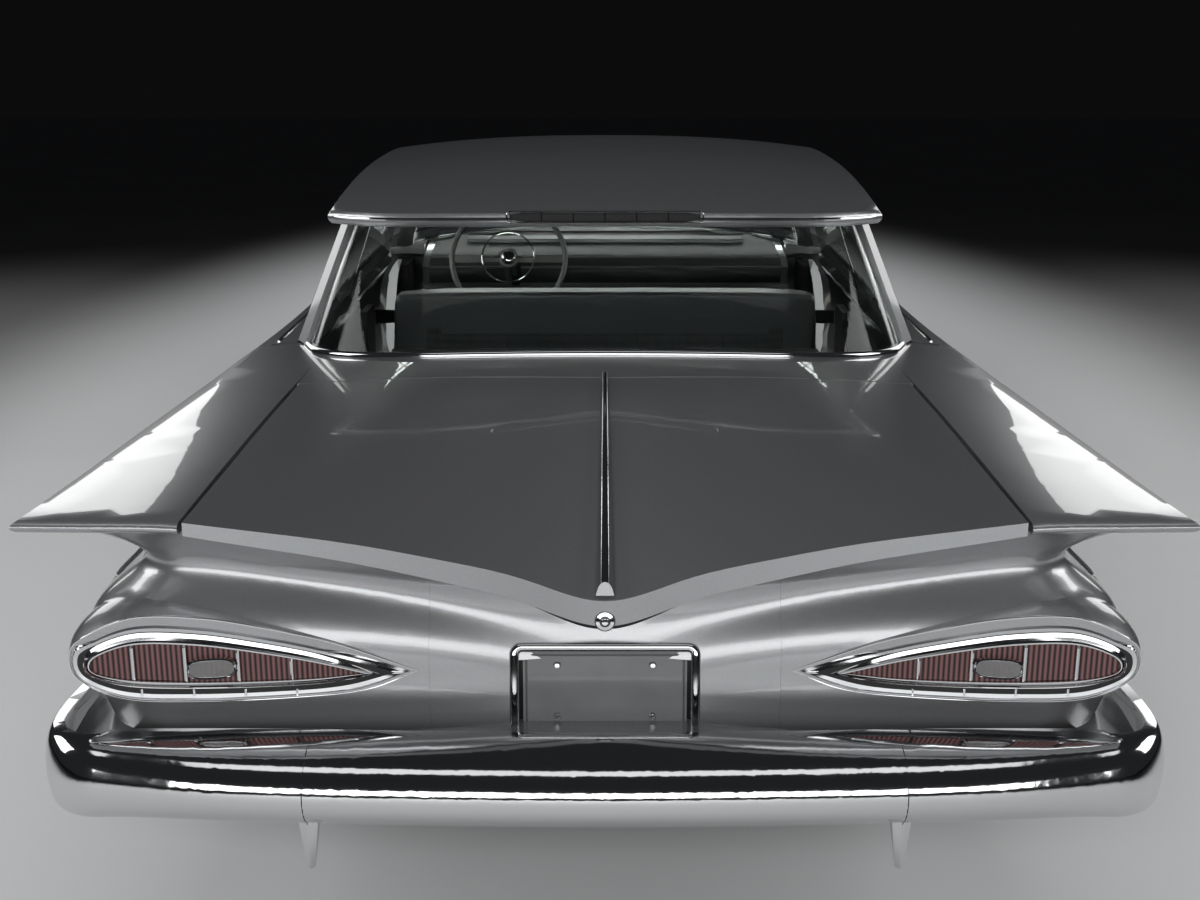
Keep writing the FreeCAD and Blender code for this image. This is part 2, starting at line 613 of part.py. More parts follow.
spear_line = [(y, top_z(0, y)) for y in steps(LID_FRONT - 4, tail_edge_y(0) + 5, 8)]
sections = []
half, rise = size("SpearWidth") / 2, size("SpearHeight")
for number, (y, z) in enumerate(spear_line):
    taper = 0.55 + 0.45 * number / 7
    z = top_z(half * taper, y) + 0.2
    loop = [V(-half * taper, y, z), V(-half * 0.55 * taper, y, z + rise * 0.8 * taper), V(0, y, z + rise * taper),
            V(half * 0.55 * taper, y, z + rise * 0.8 * taper), V(half * taper, y, z)]
    sections.append(loop)
spear_low = [[V(p.x, p.y, loop[0].z + 0.3) for p in loop] for loop in sections]
spear_high = [[p + V(0, 0, 1.2) for p in loop] for loop in sections]
spear_marks = [i / 7 for i in range(8)]
deck_spear = slab([spear_high, spear_low], spear_marks, [0.0, 0.25, 0.5, 0.75, 1.0])
feature("deck_spear", deck_spear)


# Hood, nose and cowl.
NOSE_END = HALF_L - 0.0205 * size("OverallLength")
HOOD_REAR = COWL + 0.085 * size("OverallLength")


def nose_y(x):
    """Front face of the nose in plan."""
    return NOSE_END + 30 * (1 - (abs(x) / (0.84 * HALF_W)) ** 2)


def top_sheet(half, y_from, y_to, drops, marks=LID_MARKS):
    """A plate of the upper surface between two lines given as y over x."""
    layers = []
    for drop in drops:
        grid = []
        for share in (0.0, 0.25, 0.5, 0.75, 1.0):
            row = []
            for s in marks:
                x = (2 * s - 1) * half
                y = y_from(x) + share * (y_to(x) - y_from(x))
                row.append(V(x, y, top_z(x, y) - drop))
            grid.append(row)
        layers.append(grid)
    return slab(layers, [0.0, 0.25, 0.5, 0.75, 1.0], marks)


hood_half = size("HoodHalfWidth")
right_fender = fender()
feature("fender_right", right_fender)
feature("fender_left", mirrored(right_fender))
hood_plate = top_sheet(hood_half, lambda x: HOOD_REAR, nose_y, (0, skin))
hood_rib = top_sheet(110, lambda x: HOOD_REAR + 60, lambda x: NOSE_END - 60, (skin - 1, skin + 18), [0.0, 0.5, 1.0])
feature("hood", hood_plate.fuse(hood_rib))

# Windshield and rear glass stand between these foot and head lines.
SHIELD_FOOT = [(0, 0.2575), (0.32, 0.2545), (0.55, 0.2430), (0.70, 0.2220), (0.775, 0.1940)]
SHIELD_HEAD = [(0, 0.1480), (0.29, 0.1465), (0.50, 0.1395), (0.61, 0.1280), (0.648, 0.1130)]
REAR_FOOT = [(0, -0.2430), (0.38, -0.2402), (0.61, -0.2298), (0.725, -0.2118), (0.785, -0.1860)]
REAR_HEAD = [(0, -0.1850), (0.35, -0.1825), (0.54, -0.1755), (0.62, -0.1680), (0.655, -0.1585)]
ROOF_Y = [-0.2262, -0.193, -0.131, 0.0, 0.0747, 0.1344, 0.160]
roof_line = spline_1d([y * size("OverallLength") for y in ROOF_Y],
                      [z * TALL for z in (0.9300, 0.9500, 0.9790, 1.0, 0.9960, 0.9760, 0.9600)])


def roof_z(x, y):
    return roof_line(y) - 0.029 * TALL * (abs(x) / size("RoofHalfWidth")) ** 2.4


def both_sides(points):
    right = [V(x * HALF_W, y * size("OverallLength"), 0) for x, y in points]
    return [V(-p.x, p.y, 0) for p in reversed(right[1:])] + right


def glass(foot, head, foot_lift, bow):
    """A bent window between a foot line and a head line, bowed outward by bow at mid height."""
    low = [V(p.x, p.y, top_z(p.x, p.y) + foot_lift) for p in both_sides(foot)]
    high = [V(p.x, p.y, roof_z(p.x, p.y) - size("RoofThickness") - 1.6) for p in both_sides(head)]
    grid = []
    for share in (0.0, 0.33, 0.67, 1.0):
        row = []
        for i, (a, b) in enumerate(zip(low, high)):
            swell = 4 * share * (1 - share) * bow * (1 - (2 * i / (len(low) - 1) - 1) ** 4)
            p = a + (b - a) * share
            away = V(p.x, p.y - (foot[-1][1] * size("OverallLength")), 0)
            row.append(p + V(away.x / HALF_W, away.y / 600, 0) * swell)
        grid.append(row)
    thick = size("GlassThickness")
    inner = []
    for row in grid:
        inner_row = []
        for i, p in enumerate(row):
            along = row[min(i + 1, len(row) - 1)] - row[max(i - 1, 0)]
            normal = V(-along.y, along.x, 0)
            normal.normalize()
            if normal.dot(V(0, 0, 0) - V(p.x, p.y, 0)) < 0:
                normal = normal * -1
            inner_row.append(p + normal * thick)
        inner.append(inner_row)
    return slab([grid, inner], [0.0, 0.33, 0.67, 1.0], marks_of(grid[0])), grid


shield, shield_grid = glass(SHIELD_FOOT, SHIELD_HEAD, 0.8, 18)
feature("windshield", shield)
rear_glass, rear_grid = glass(REAR_FOOT, REAR_HEAD, 0.8, 22)
feature("rear_window", rear_glass)

# Cowl: the panel behind the hood, the firewall, the dashboard and the steering column.
foot_right = [(x * HALF_W, y * size("OverallLength")) for x, y in SHIELD_FOOT]
shield_foot = spline_1d([p[0] for p in foot_right], [p[1] for p in foot_right])
cowl = top_sheet(hood_half, lambda x: shield_foot(min(abs(x), 0.70 * HALF_W)) - 40, lambda x: HOOD_REAR - size("LidGap"),
                 (0, skin))
firewall = box(-hood_half, hood_half, COWL + 120, COWL + 150, 0.40 * TALL, DECK_TOP - 40)
dash_profile = [(COWL + 121, 0.655 * TALL), (COWL - 90, 0.640 * TALL), (COWL - 150, 0.615 * TALL), (COWL - 140, 0.560 * TALL),
                (COWL - 60, 0.535 * TALL), (COWL + 121, 0.530 * TALL)]
dash = prism_x(dash_profile, -hood_half, hood_half)
dash_half = 0.552 * HALF_W
dash_top = prism_x([(COWL + 119, 0.60 * TALL), (COWL + 119, DECK_TOP - 26), (COWL + 330, DECK_TOP - 28),
                    (COWL + 330, DECK_TOP - 36), (COWL + 151, DECK_TOP - 40), (COWL + 151, 0.60 * TALL)], -dash_half, dash_half)
cowl = cowl.fuse(firewall).fuse(dash).fuse(dash_top)
DRIVER_X = -0.36 * HALF_W
WHEEL_SPOT = V(DRIVER_X, COWL - 330, 0.655 * TALL)
rake = math.radians(28)
axis = V(0, -math.cos(rake), math.sin(rake))
column_long, hub_back = size("ColumnLength"), 12.3
column = Part.makeCylinder(size("ColumnRadius"), column_long - hub_back, WHEEL_SPOT - axis * column_long, axis)
cowl = cowl.fuse(column)
feature("cowl", cowl)

# Roof: a flat plate that runs past the rear glass, on two slender pillars a side.
roof_half = size("RoofHalfWidth")
ROOF_FRONT = [(0, 0.1560), (0.30, 0.1545), (0.52, 0.1460), (0.64, 0.1330), (0.705, 0.1130)]
ROOF_REAR = [(0, -0.2262), (0.30, -0.2240), (0.52, -0.2140), (0.64, -0.2030), (0.705, -0.1930)]


def line_of(points):
    return spline_1d([p[0] * HALF_W for p in points], [p[1] * size("OverallLength") for p in points])


roof_front, roof_rear = line_of(ROOF_FRONT), line_of(ROOF_REAR)
layers = []
for drop, grow in ((0, 0), (size("RoofThickness") / 2, 9), (size("RoofThickness"), 0)):
    grid = []
    for share in (0.0, 0.15, 0.35, 0.6, 0.85, 1.0):
        row = []
        for s in LID_MARKS:
            x = (2 * s - 1) * roof_half
            y = roof_rear(abs(x)) + share * (roof_front(abs(x)) - roof_rear(abs(x)))
            z = roof_z(x, y) - drop
            x += grow * (1 if s == 1.0 else -1 if s == 0.0 else 0)
            y += grow * (1 if share == 1.0 else -1 if share == 0.0 else 0)
            row.append(V(x, y, z))
        grid.append(row)
    layers.append(grid)
roof = slab(layers, [0.0, 0.15, 0.35, 0.6, 0.85, 1.0], LID_MARKS)


def pillar(foot, head, foot_size, head_size, foot_turn, head_turn):
    """A tapered pillar between two points, its sections width by depth, turned in plan by degrees."""
    wires = []
    for spot, (wide, deep), turn in ((foot, foot_size, foot_turn), (head, head_size, head_turn)):
        corners = [(-wide / 2, -deep / 2), (wide / 2, -deep / 2), (wide / 2, deep / 2), (-wide / 2, deep / 2)]
        c, s = math.cos(math.radians(turn)), math.sin(math.radians(turn))
        loop = [spot + V(a * c - b * s, a * s + b * c, 0) for a, b in corners]
        wires.append(Part.makePolygon(loop + loop[:1]))
    return Part.makeLoft(wires, True, True)


for spots, turn in (((SHIELD_FOOT, SHIELD_HEAD), -62), ((REAR_FOOT, REAR_HEAD), 62)):
    foot = V(spots[0][-1][0] * HALF_W, spots[0][-1][1] * size("OverallLength"), 0)
    head = V(spots[1][-1][0] * HALF_W, spots[1][-1][1] * size("OverallLength"), 0)
    toward = V(0.35, 0.94 if turn > 0 else -0.94, 0)
    step = size("PillarWidth") / 2 + 11
    foot = foot + toward * step
    head = head + toward * step
    foot.z = top_z(foot.x - size("PillarWidth") / 2, foot.y) + 0.5
    head.z = roof_z(head.x, head.y) - size("RoofThickness")
    head = head + (head - foot) * (size("RoofThickness") * 0.6 / (head.z - foot.z))
    post = pillar(foot, head, (size("PillarWidth"), size("PillarDepth")), (size("PillarWidth") * 0.8, size("PillarDepth")),
                  turn, turn)
    roof = roof.fuse(post).fuse(mirrored(post))
feature("roof", roof)

# Door glass, frameless, standing in the doors.
def door_glass(front_low, front_high, back_low, back_high):
    low_x, high_x = size("BeltHalfWidth") + 16, roof_half - 12
    grid = []
    for share in (0.0, 0.5, 1.0):
        row = []
        for back in (0.0, 0.5, 1.0):
            y = ((front_low + (front_high - front_low) * share) * (1 - back)
                 + (back_low + (back_high - back_low) * share) * back)
            x = low_x + (high_x - low_x) * share + 26 * share * (1 - share)
            z = (top_z(low_x, y) - 30) * (1 - share) + (roof_z(high_x, y) - size("RoofThickness") - 8) * share
            row.append(V(x, y, z))
        grid.append(row)
    inner = [[p - V(size("GlassThickness"), 0, 0) for p in row] for row in grid]
    return slab([grid, inner], [0.0, 0.5, 1.0], [0.0, 0.5, 1.0])


front_pane = door_glass(COWL - 95, 0.0995 * size("OverallLength"), POST_CUT + 12, POST_CUT + 12)
rear_pane = door_glass(POST_CUT - 14, POST_CUT - 14, REAR_AXLE + 330, REAR_AXLE + 446)


# Hinges: the body's arm carries a barrel that turns on the door's pin.
def hinged(door, axis_y):
    """The door with its pockets and pins, and the body's arms."""
    x, arms = size("HingeHalf"), []
    for z in (0.345 * TALL, 0.470 * TALL):
        pocket = box(700, x + 13, axis_y - 20, axis_y + 200, z - 32, z + 32)
        door = door.cut(pocket)
        door = door.fuse(Part.makeCylinder(6, 66, V(x, axis_y, z - 33)))
        arm = box(785, x, axis_y - 8, axis_y + 8, z - 26, z + 26)
        arm = arm.fuse(Part.makeCylinder(12, 52, V(x, axis_y, z - 26)))
        arms.append(arm.cut(Part.makeCylinder(6.3, 60, V(x, axis_y, z - 30))))
    return door, arms


front_hinge_y = FRONT_CUT - gap / 2 - size("HingeSet")
rear_hinge_y = POST_CUT - gap / 2 - size("HingeSet")
front_door = front_door.cut(box(0, 0.862 * HALF_W, FRONT_CUT - 85, FRONT_CUT, 0.6 * TALL, TALL))
front_door, front_arms = hinged(front_door, front_hinge_y)
rear_inner = door_prism(POST_CUT - gap / 2, [(rear_cut(z) + 16, z) for z in REAR_CUT_Z], 0, 0)
inside_box = box(0, HALF_W * 0.905, -HALF_L, HALF_L, 0, TALL)
rear_door = rear_door.cut(inside_box).fuse(rear_door.common(inside_box).common(rear_inner))
rear_door, rear_arms = hinged(rear_door, rear_hinge_y)
for name, door, pane in (("front", front_door, front_pane), ("rear", rear_door, rear_pane)):
    slot = pane.copy()
    slot.translate(V(0.3, 0, -0.3))
    wide = pane.copy()
    wide.translate(V(-0.3, 0, -0.3))
    door = door.cut(slot).cut(wide).cut(pane)
    feature("door_%s_right" % name, door)
    feature("door_%s_left" % name, mirrored(door))
    feature("glass_%s_right" % name, pane)
    feature("glass_%s_left" % name, mirrored(pane))

# Floor: pan, tunnel, toe board, seat pan, boot floor, sills and the posts that carry the doors.
pan = size("FloorThickness")
cabin_floor, boot_floor = size("FloorTop"), size("TrunkFloorTop")
line = [(COWL + 119, 0.405 * TALL), (COWL - 110, cabin_floor), (-560, cabin_floor), (-640, cabin_floor + 90),
        (REAR_AXLE + 370, cabin_floor + 90), (REAR_AXLE + 290, boot_floor + 80), (REAR_AXLE - 230, boot_floor + 80),
        (REAR_AXLE - 290, boot_floor), (-HALF_L + 345, boot_floor)]
floor = prism_x(line + [(y, z - pan) for y, z in reversed(line)], -795, 795)
inner = size("RearWellInnerHalf") - size("WellWall") - 0.3
for side in (1, -1):
    for axle, reach in ((REAR_AXLE, inner), (FRONT_AXLE, size("WellInnerHalf") - size("WellWall") - 0.3)):
        floor = floor.cut(well(min(side * reach, side * 1000), max(side * reach, side * 1000), axle,
                               size("WellRadius") + size("WellWall") + 0.3))
rise = size("TunnelHeight")
tunnel_line = [(-560, cabin_floor - pan), (REAR_AXLE + 320, cabin_floor + 90 - pan), (REAR_AXLE + 320, cabin_floor + rise + 50),
               (-560, cabin_floor + rise), (COWL - 600, cabin_floor + rise), (COWL + 40, 0.336 * TALL), (COWL - 110, cabin_floor - pan)]
tunnel = prism_x(tunnel_line, -150, 150)
under = 18
hollow_line = [(REAR_AXLE + 210, 0), (REAR_AXLE + 210, cabin_floor + rise + 64 - under), (-560, cabin_floor + rise - under),
               (COWL - 600, cabin_floor + rise - under), (COWL + 60, 0.338 * TALL - under), (COWL + 60, 0)]
hollow = prism_x(hollow_line, -132, 132)
floor = floor.fuse(tunnel).cut(hollow)
sill_top = size("DoorBottom") - gap
rocker = [V(790, 0, size("SillBottom")), V(0.888 * HALF_W, 0, size("SillBottom")), V(0.911 * HALF_W, 0, sill_top),
          V(790, 0, sill_top)]
sill_front, sill_back = FRONT_CUT + gap / 2 - 0.3, rear_cut(size("SillBottom")) - gap / 2 + 0.3
sill = Part.Face(Part.makePolygon(rocker + rocker[:1])).extrude(V(0, sill_front - sill_back, 0))
sill.translate(V(0, sill_back, 0))
posts = [box(770, 795, front_hinge_y - 40, COWL + 60, sill_top - 2, 0.62 * TALL),
         box(770, 795, rear_hinge_y - 30, POST_CUT + 10, sill_top - 2, 0.62 * TALL)]
cabin_side = sill
for extra in posts + front_arms + rear_arms:
    cabin_side = cabin_side.fuse(extra)
floor = floor.fuse(cabin_side).fuse(mirrored(cabin_side))
tank = box(-380, 380, -HALF_L + 480, -HALF_L + 1000, 0.185 * TALL, boot_floor - pan)
floor = floor.fuse(tank.makeFillet(40, tank.Edges))
riser = box(-570, 570, REAR_AXLE + 170, REAR_AXLE + 199.7, boot_floor + 79, 0.655 * TALL)
shelf = box(-570, 570, REAR_AXLE - 85, REAR_AXLE + 199.7, 0.655 * TALL - 20, 0.655 * TALL)
floor = floor.fuse(riser).fuse(shelf)
feature("floor", floor)

# Frame: an X of box rails with suspension arms at the front.
def rail(points, wide, tall):
    """A box rail through (x, y, z) points."""
    parts = []
    for a, b in zip(points, points[1:]):
        wires = []
        for p in (a, b):
            loop = [V(p[0] + dx, p[1], p[2] + dz) for dx, dz in ((-wide / 2, 0), (wide / 2, 0), (wide / 2, tall), (-wide / 2, tall))]
            wires.append(Part.makePolygon(loop + loop[:1]))
        parts.append(Part.makeLoft(wires, True, True))
    whole = parts[0]
    for p in parts[1:]:
        whole = whole.fuse(p)
    return whole


rail_tall = 88
low = 0.100 * TALL
boot_rail, hump_rail, cabin_rail = boot_floor - pan - rail_tall - 0.3, boot_floor + 80 - pan - rail_tall - 0.3, cabin_floor - pan - rail_tall - 0.3
nose_rail, mid_rail = 0.235 * TALL, 0.22 * TALL
side_rail = rail([(430, -HALF_L + 330, boot_rail), (430, REAR_AXLE - 290, boot_rail), (430, REAR_AXLE - 216, hump_rail),
                  (430, REAR_AXLE + 230, hump_rail), (400, REAR_AXLE + 360, cabin_rail + 90), (330, -700, cabin_rail + 62),
                  (260, -562, cabin_rail), (95, -350, cabin_rail), (95, 600, cabin_rail), (370, COWL + 160, cabin_rail),
                  (370, FRONT_AXLE - 260, mid_rail), (370, FRONT_AXLE + 330, mid_rail), (370, NOSE - 60, nose_rail)], 70, rail_tall)
frame = side_rail.fuse(mirrored(side_rail))
frame = frame.fuse(box(-96, 96, -300, 550, cabin_rail, cabin_rail + rail_tall))
for y, z, half in ((-HALF_L + 371, boot_rail, 450), (FRONT_AXLE, mid_rail, 380), (NOSE - 101, nose_rail, 400)):
    frame = frame.fuse(box(-half, half, y - 40, y + 40, z, z + 70))
kingpin, arm = size("KingpinHalf"), size("ArmThickness")
half_tall = size("KnuckleHalfHeight")
pin_r = size("KnuckleRadius") * 0.6
for side in (1, -1):
    for z, reach in ((HUB_Z - half_tall - arm - size("SteerClearance"), 330), (HUB_Z + half_tall + size("SteerClearance"), 330)):
        a = [V(reach, FRONT_AXLE - 120, z), V(reach, FRONT_AXLE + 120, z), V(kingpin, FRONT_AXLE + 24, z), V(kingpin, FRONT_AXLE - 24, z)]
        wishbone = Part.Face(Part.makePolygon(a + a[:1])).extrude(V(0, 0, arm))
        wishbone = wishbone.fuse(Part.makeCylinder(24, arm, V(kingpin, FRONT_AXLE, z)))
        wishbone = wishbone.cut(box(reach + 60, 520, FRONT_AXLE - 60, FRONT_AXLE + 60, z - 1, z + arm + 1))
        frame = frame.fuse(wishbone if side > 0 else mirrored(wishbone))
    tower = box(330, 400, FRONT_AXLE - 110, FRONT_AXLE + 110, HUB_Z - half_tall - arm - 10, HUB_Z + half_tall + arm)
    frame = frame.fuse(tower if side > 0 else mirrored(tower))
feature("frame", frame)

# Knuckles: an upright between the arms, with the spindle, and a steering arm.
def revolve_x(points):
    """A solid of revolution about the X axis from (x, radius) points."""
    loop = [V(x, 0, r) for x, r in points]
    return Part.Face(Part.makePolygon(loop + loop[:1])).revolve(V(0, 0, 0), V(1, 0, 0), 360)


front_hub, rear_hub = size("FrontTrack") / 2, size("RearTrack") / 2
spin = size("SpindleRadius")
upright = Part.makeCylinder(size("KnuckleRadius"), 2 * half_tall, V(kingpin, FRONT_AXLE, HUB_Z - half_tall))
spindle = Part.makeCylinder(spin, front_hub + 22 - kingpin, V(kingpin, FRONT_AXLE, HUB_Z), V(1, 0, 0))
steer_arm = box(kingpin - 12, kingpin + 12, FRONT_AXLE - 130, FRONT_AXLE, HUB_Z - 70, HUB_Z - 50)
knuckle = upright.fuse(spindle).fuse(steer_arm)
feature("knuckle_right", knuckle)
feature("knuckle_left", mirrored(knuckle))

# Rear axle with its differential and coil springs.
axle_end = rear_hub - 75
axle_tip, tube_r, diff_r = rear_hub + 22, size("AxleRadius"), size("DiffRadius")
half_section = [(axle_tip, 0), (axle_tip, spin), (axle_end, spin), (axle_end, tube_r), (0.9 * diff_r, tube_r),
                (0.55 * diff_r, 0.72 * diff_r), (0.25 * diff_r, diff_r)]
rear_axle = revolve_x(half_section + [(-x, r) for x, r in reversed(half_section)])
rear_axle.translate(V(0, REAR_AXLE, HUB_Z))
for side in (1, -1):
    spring = Part.makeCylinder(50, hump_rail - 0.3 - HUB_Z, V(side * 430, REAR_AXLE, HUB_Z))
    rear_axle = rear_axle.fuse(spring)
feature("rear_axle", rear_axle)

# Wheels and tyres.
bead, rim_half, wall_thick = size("BeadRadius"), size("RimWidth") / 2, size("RimWall")
drum, drum_wide = size("DrumRadius"), size("DrumWidth")
bore = spin + size("SpindleClearance")
lip = bead + 16
wheel_section = [(-rim_half, lip), (-rim_half + 9, lip), (-rim_half + 11, bead - 0.3), (-28, bead - 1), (-18, bead - 24), (22, bead - 24),
                 (34, bead - 1), (rim_half - 11, bead - 0.3), (rim_half - 9, lip), (rim_half, lip), (rim_half, lip - 7),
                 (rim_half - 14, bead - 9), (30, bead - 12), (20, bead - 32), (12, bead - 34), (24, 110), (30, 72),
                 (32, 40), (32, 0.01), (24, 0.01), (24, bore), (-10 - drum_wide, bore), (-10 - drum_wide, drum),
                 (-10, drum), (4, drum - 4), (2, bead - 32), (-20, bead - 32), (-30, bead - 12), (-rim_half + 14, bead - 9), (-rim_half, lip - 7)]
wheel = revolve_x(wheel_section)
tyre_half, tyre_r = size("TyreWidth") / 2, size("TyreRadius")
seat_x = rim_half - 12
outer_side = [(-seat_x, bead), (-seat_x, lip + 0.5), (-tyre_half + 12, lip + 8), (-tyre_half + 2, bead + 62), (-tyre_half, bead + 85),
              (-tyre_half + 6, bead + 122), (-tyre_half + 24, tyre_r - 12), (-tyre_half + 48, tyre_r - 2)]
tyre_section = outer_side + [(0, tyre_r)] + [(-x, r) for x, r in reversed(outer_side)]
tyre_section += [(seat_x - 12, bead), (seat_x - 10, lip + 8), (tyre_half - 28, lip + 22), (tyre_half - 16, bead + 75), (tyre_half - 44, tyre_r - 22),
                 (-tyre_half + 44, tyre_r - 22), (-tyre_half + 16, bead + 75), (-tyre_half + 28, lip + 22), (-seat_x + 10, lip + 8), (-seat_x + 12, bead)]
tyre = revolve_x(tyre_section)
for name, axle, hub in (("front", FRONT_AXLE, front_hub), ("rear", REAR_AXLE, rear_hub)):
    for part_name, shape in (("wheel", wheel), ("tyre", tyre)):
        placed = shape.copy()
        placed.translate(V(hub, axle, HUB_Z))
        feature("%s_%s_right" % (part_name, name), placed)
        feature("%s_%s_left" % (part_name, name), mirrored(placed))

# Powertrain: engine, gearbox, propeller shaft and exhaust.
engine = box(-220, 220, COWL + 170, FRONT_AXLE - 50, 0.18 * TALL, 0.46 * TALL)
shaft_z, gearbox_end = 300, COWL - 450
gearbox = Part.makeCone(104, 64, COWL + 171 - gearbox_end, V(0, COWL + 171, shaft_z), V(0, -1, 0))
run = V(0, REAR_AXLE + size("DiffRadius") + 0.3 - gearbox_end, HUB_Z - shaft_z)
shaft = Part.makeCylinder(32, run.Length, V(0, gearbox_end + 1, shaft_z), run)
power = engine.fuse(gearbox).fuse(shaft)
for side in (1, -1):
    mount = box(200, 334.7, FRONT_AXLE - 390, FRONT_AXLE - 340, 0.20 * TALL, 0.24 * TALL)
    power = power.fuse(mount if side > 0 else mirrored(mount))
feature("powertrain", power)

# Seats.
def seat(y_front, y_back, z_low, back_top, lean, width):
    cushion = box(-width / 2, width / 2, y_back, y_front, z_low, z_low + size("CushionHeight"))
    back = prism_x([(y_back - 5, z_low + 20), (y_back + size("BackThickness"), z_low + 20),
                    (y_back + size("BackThickness") - lean, back_top), (y_back - lean + 30, back_top + 22), (y_back - lean, back_top)],
                   -width / 2, width / 2)
    joined = cushion.fuse(back)
    return joined.cut(box(-165, 165, y_back - 300, y_front + 1, 0, cabin_floor + size("TunnelHeight") + 8))


front_seat = seat(0.088 * size("OverallLength"), -30, cabin_floor + 0.3, 0.655 * TALL, 90, size("SeatWidth"))
feature("front_seat", front_seat)
rear_cushion = box(-575, 575, REAR_AXLE + 370.3, -430, cabin_floor + 90.3, cabin_floor + 250)
rear_cushion = rear_cushion.cut(box(-151, 151, REAR_AXLE + 200, -400, 0, cabin_floor + rise + 55))
rear_back = prism_x([(REAR_AXLE + 200, boot_floor + 80.3), (REAR_AXLE + 290.3, boot_floor + 80.3), (REAR_AXLE + 370.3, cabin_floor + 90.5),
                     (REAR_AXLE + 420, cabin_floor + 90.5), (REAR_AXLE + 330, 0.655 * TALL), (REAR_AXLE + 200, 0.655 * TALL)], -575, 575)
rear_back = rear_back.cut(box(-151, 151, REAR_AXLE + 200, -400, 0, cabin_floor + rise + 55))
feature("rear_seat", rear_cushion.fuse(rear_back))
# Steering wheel.
rim = Part.makeTorus(size("SteeringWheelRadius"), size("SteeringRimRadius"), V(0, 0, 0), V(0, 0, 1))
hub_solid = Part.makeCylinder(38, 30, V(0, 0, -12))
spokes = box(-size("SteeringWheelRadius"), size("SteeringWheelRadius"), -14, 14, -5, 5)
steering = rim.fuse(hub_solid).fuse(spokes)
steering.rotate(V(0, 0, 0), V(1, 0, 0), 90 - 28)
steering.translate(WHEEL_SPOT)
feature("steering_wheel", steering)


# Bumpers: a curved section swept round the plan line of each end.
def bumper(section, nose, corner_x, side_to, corner_radius, sign):
    """A bar through sections along a plan line. Section points are (inward from the face, z)."""
    stations = []
    for share, depth in ((0.0, 1.0), (0.3, 1.0), (0.6, 1.0), (0.85, 0.86), (1.0, 0.62)):
        x = share * (corner_x - corner_radius)
        y = nose(x)
        slope = (nose(x + 1) - nose(x)) * sign
        stations.append((V(x, y, 0), V(-slope, -sign, 0), depth))
    start = stations[-1][0]
    for share, depth in ((0.25, 0.46), (0.5, 0.32), (0.75, 0.2), (1.0, 0.14)):
        turn = math.radians(90 * share)
        out = V(math.sin(turn), sign * math.cos(turn), 0)
        stations.append((V(start.x, start.y - sign * corner_radius, 0) + out * corner_radius, out * -1, depth))
    last = stations[-1][0]
    for share in (0.5, 1.0):
        stations.append((V(last.x, last.y + (side_to - last.y) * share, 0), V(-1, 0, 0), 0.12))
    flip = [(V(-p.x, p.y, 0), V(-n.x, n.y, 0), depth) for p, n, depth in reversed(stations[1:])]
    path = flip + stations
    grids = []
    for thick in (0, size("BumperThickness")):
        grid = []
        for p, n, depth in path:
            n.normalize()
            grid.append([V(p.x, p.y, z) + n * (inward * depth + thick) for inward, z in section])
        grids.append(grid)
    return slab(grids, marks_of([row[0] for row in path]), marks_of([V(a, b, 0) for a, b in section]))


REAR_SECTION = [(85, 0.279), (34, 0.286), (7, 0.307), (0, 0.333), (20, 0.358), (62, 0.374), (112, 0.380)]
rear_nose = spline_1d([x * HALF_W for x in (0, 0.493, 0.838, 1.084)], [-HALF_L + dy for dy in (0, 15, 50, 98)])
rear_bumper = bumper([(a, z * TALL) for a, z in REAR_SECTION], lambda x: rear_nose(abs(x)), HALF_W - 2, -HALF_L + 440, 140, -1)
guard_wires = []
for wide, y_from, y_to, z in ((42, 52, 96, 0.306 * TALL), (13, 60, 76, 0.217 * TALL)):
    corners = [(-wide / 2, y_from + 8), (0, y_from), (wide / 2, y_from + 8), (wide / 2, y_to), (-wide / 2, y_to)]
    loop = [V(0.513 * HALF_W + x, -HALF_L + y, z) for x, y in corners]
    guard_wires.append(Part.makePolygon(loop + loop[:1]))
guard = Part.makeLoft(guard_wires, True, True)
iron_line = [(329.7, 331), (329.7, 361), (240, 361), (140, 440), (60, 440), (60, 386), (87, 386), (87, 403), (128, 403),
             (228, 331)]
iron = prism_x([(-HALF_L + y, z) for y, z in iron_line], 400, 460)
for piece in (guard, mirrored(guard), iron, mirrored(iron)):
    rear_bumper = rear_bumper.fuse(piece)
feature("rear_bumper", rear_bumper)
FRONT_SECTION = [(32, 0.262), (15, 0.266), (3, 0.285), (0, 0.315), (9, 0.343), (20, 0.354), (32, 0.358)]
front_nose = spline_1d([0, 500, 850, 1100], [HALF_L, HALF_L - 30, HALF_L - 90, HALF_L - 170])
front_bumper = bumper([(a, z * TALL) for a, z in FRONT_SECTION], lambda x: front_nose(abs(x)), HALF_W - 2, HALF_L - 420, 150, 1)
iron = box(340, 400, NOSE - 59.7, HALF_L - 80, 0.235 * TALL, 0.235 * TALL + 17)
iron = iron.fuse(box(340, 400, HALF_L - 105, HALF_L - 80, 0.235 * TALL, 0.325 * TALL))
iron = iron.fuse(box(340, 400, HALF_L - 105, HALF_L - 31, 0.30 * TALL, 0.325 * TALL))
front_bumper = front_bumper.fuse(iron).fuse(mirrored(iron))
feature("front_bumper", front_bumper)

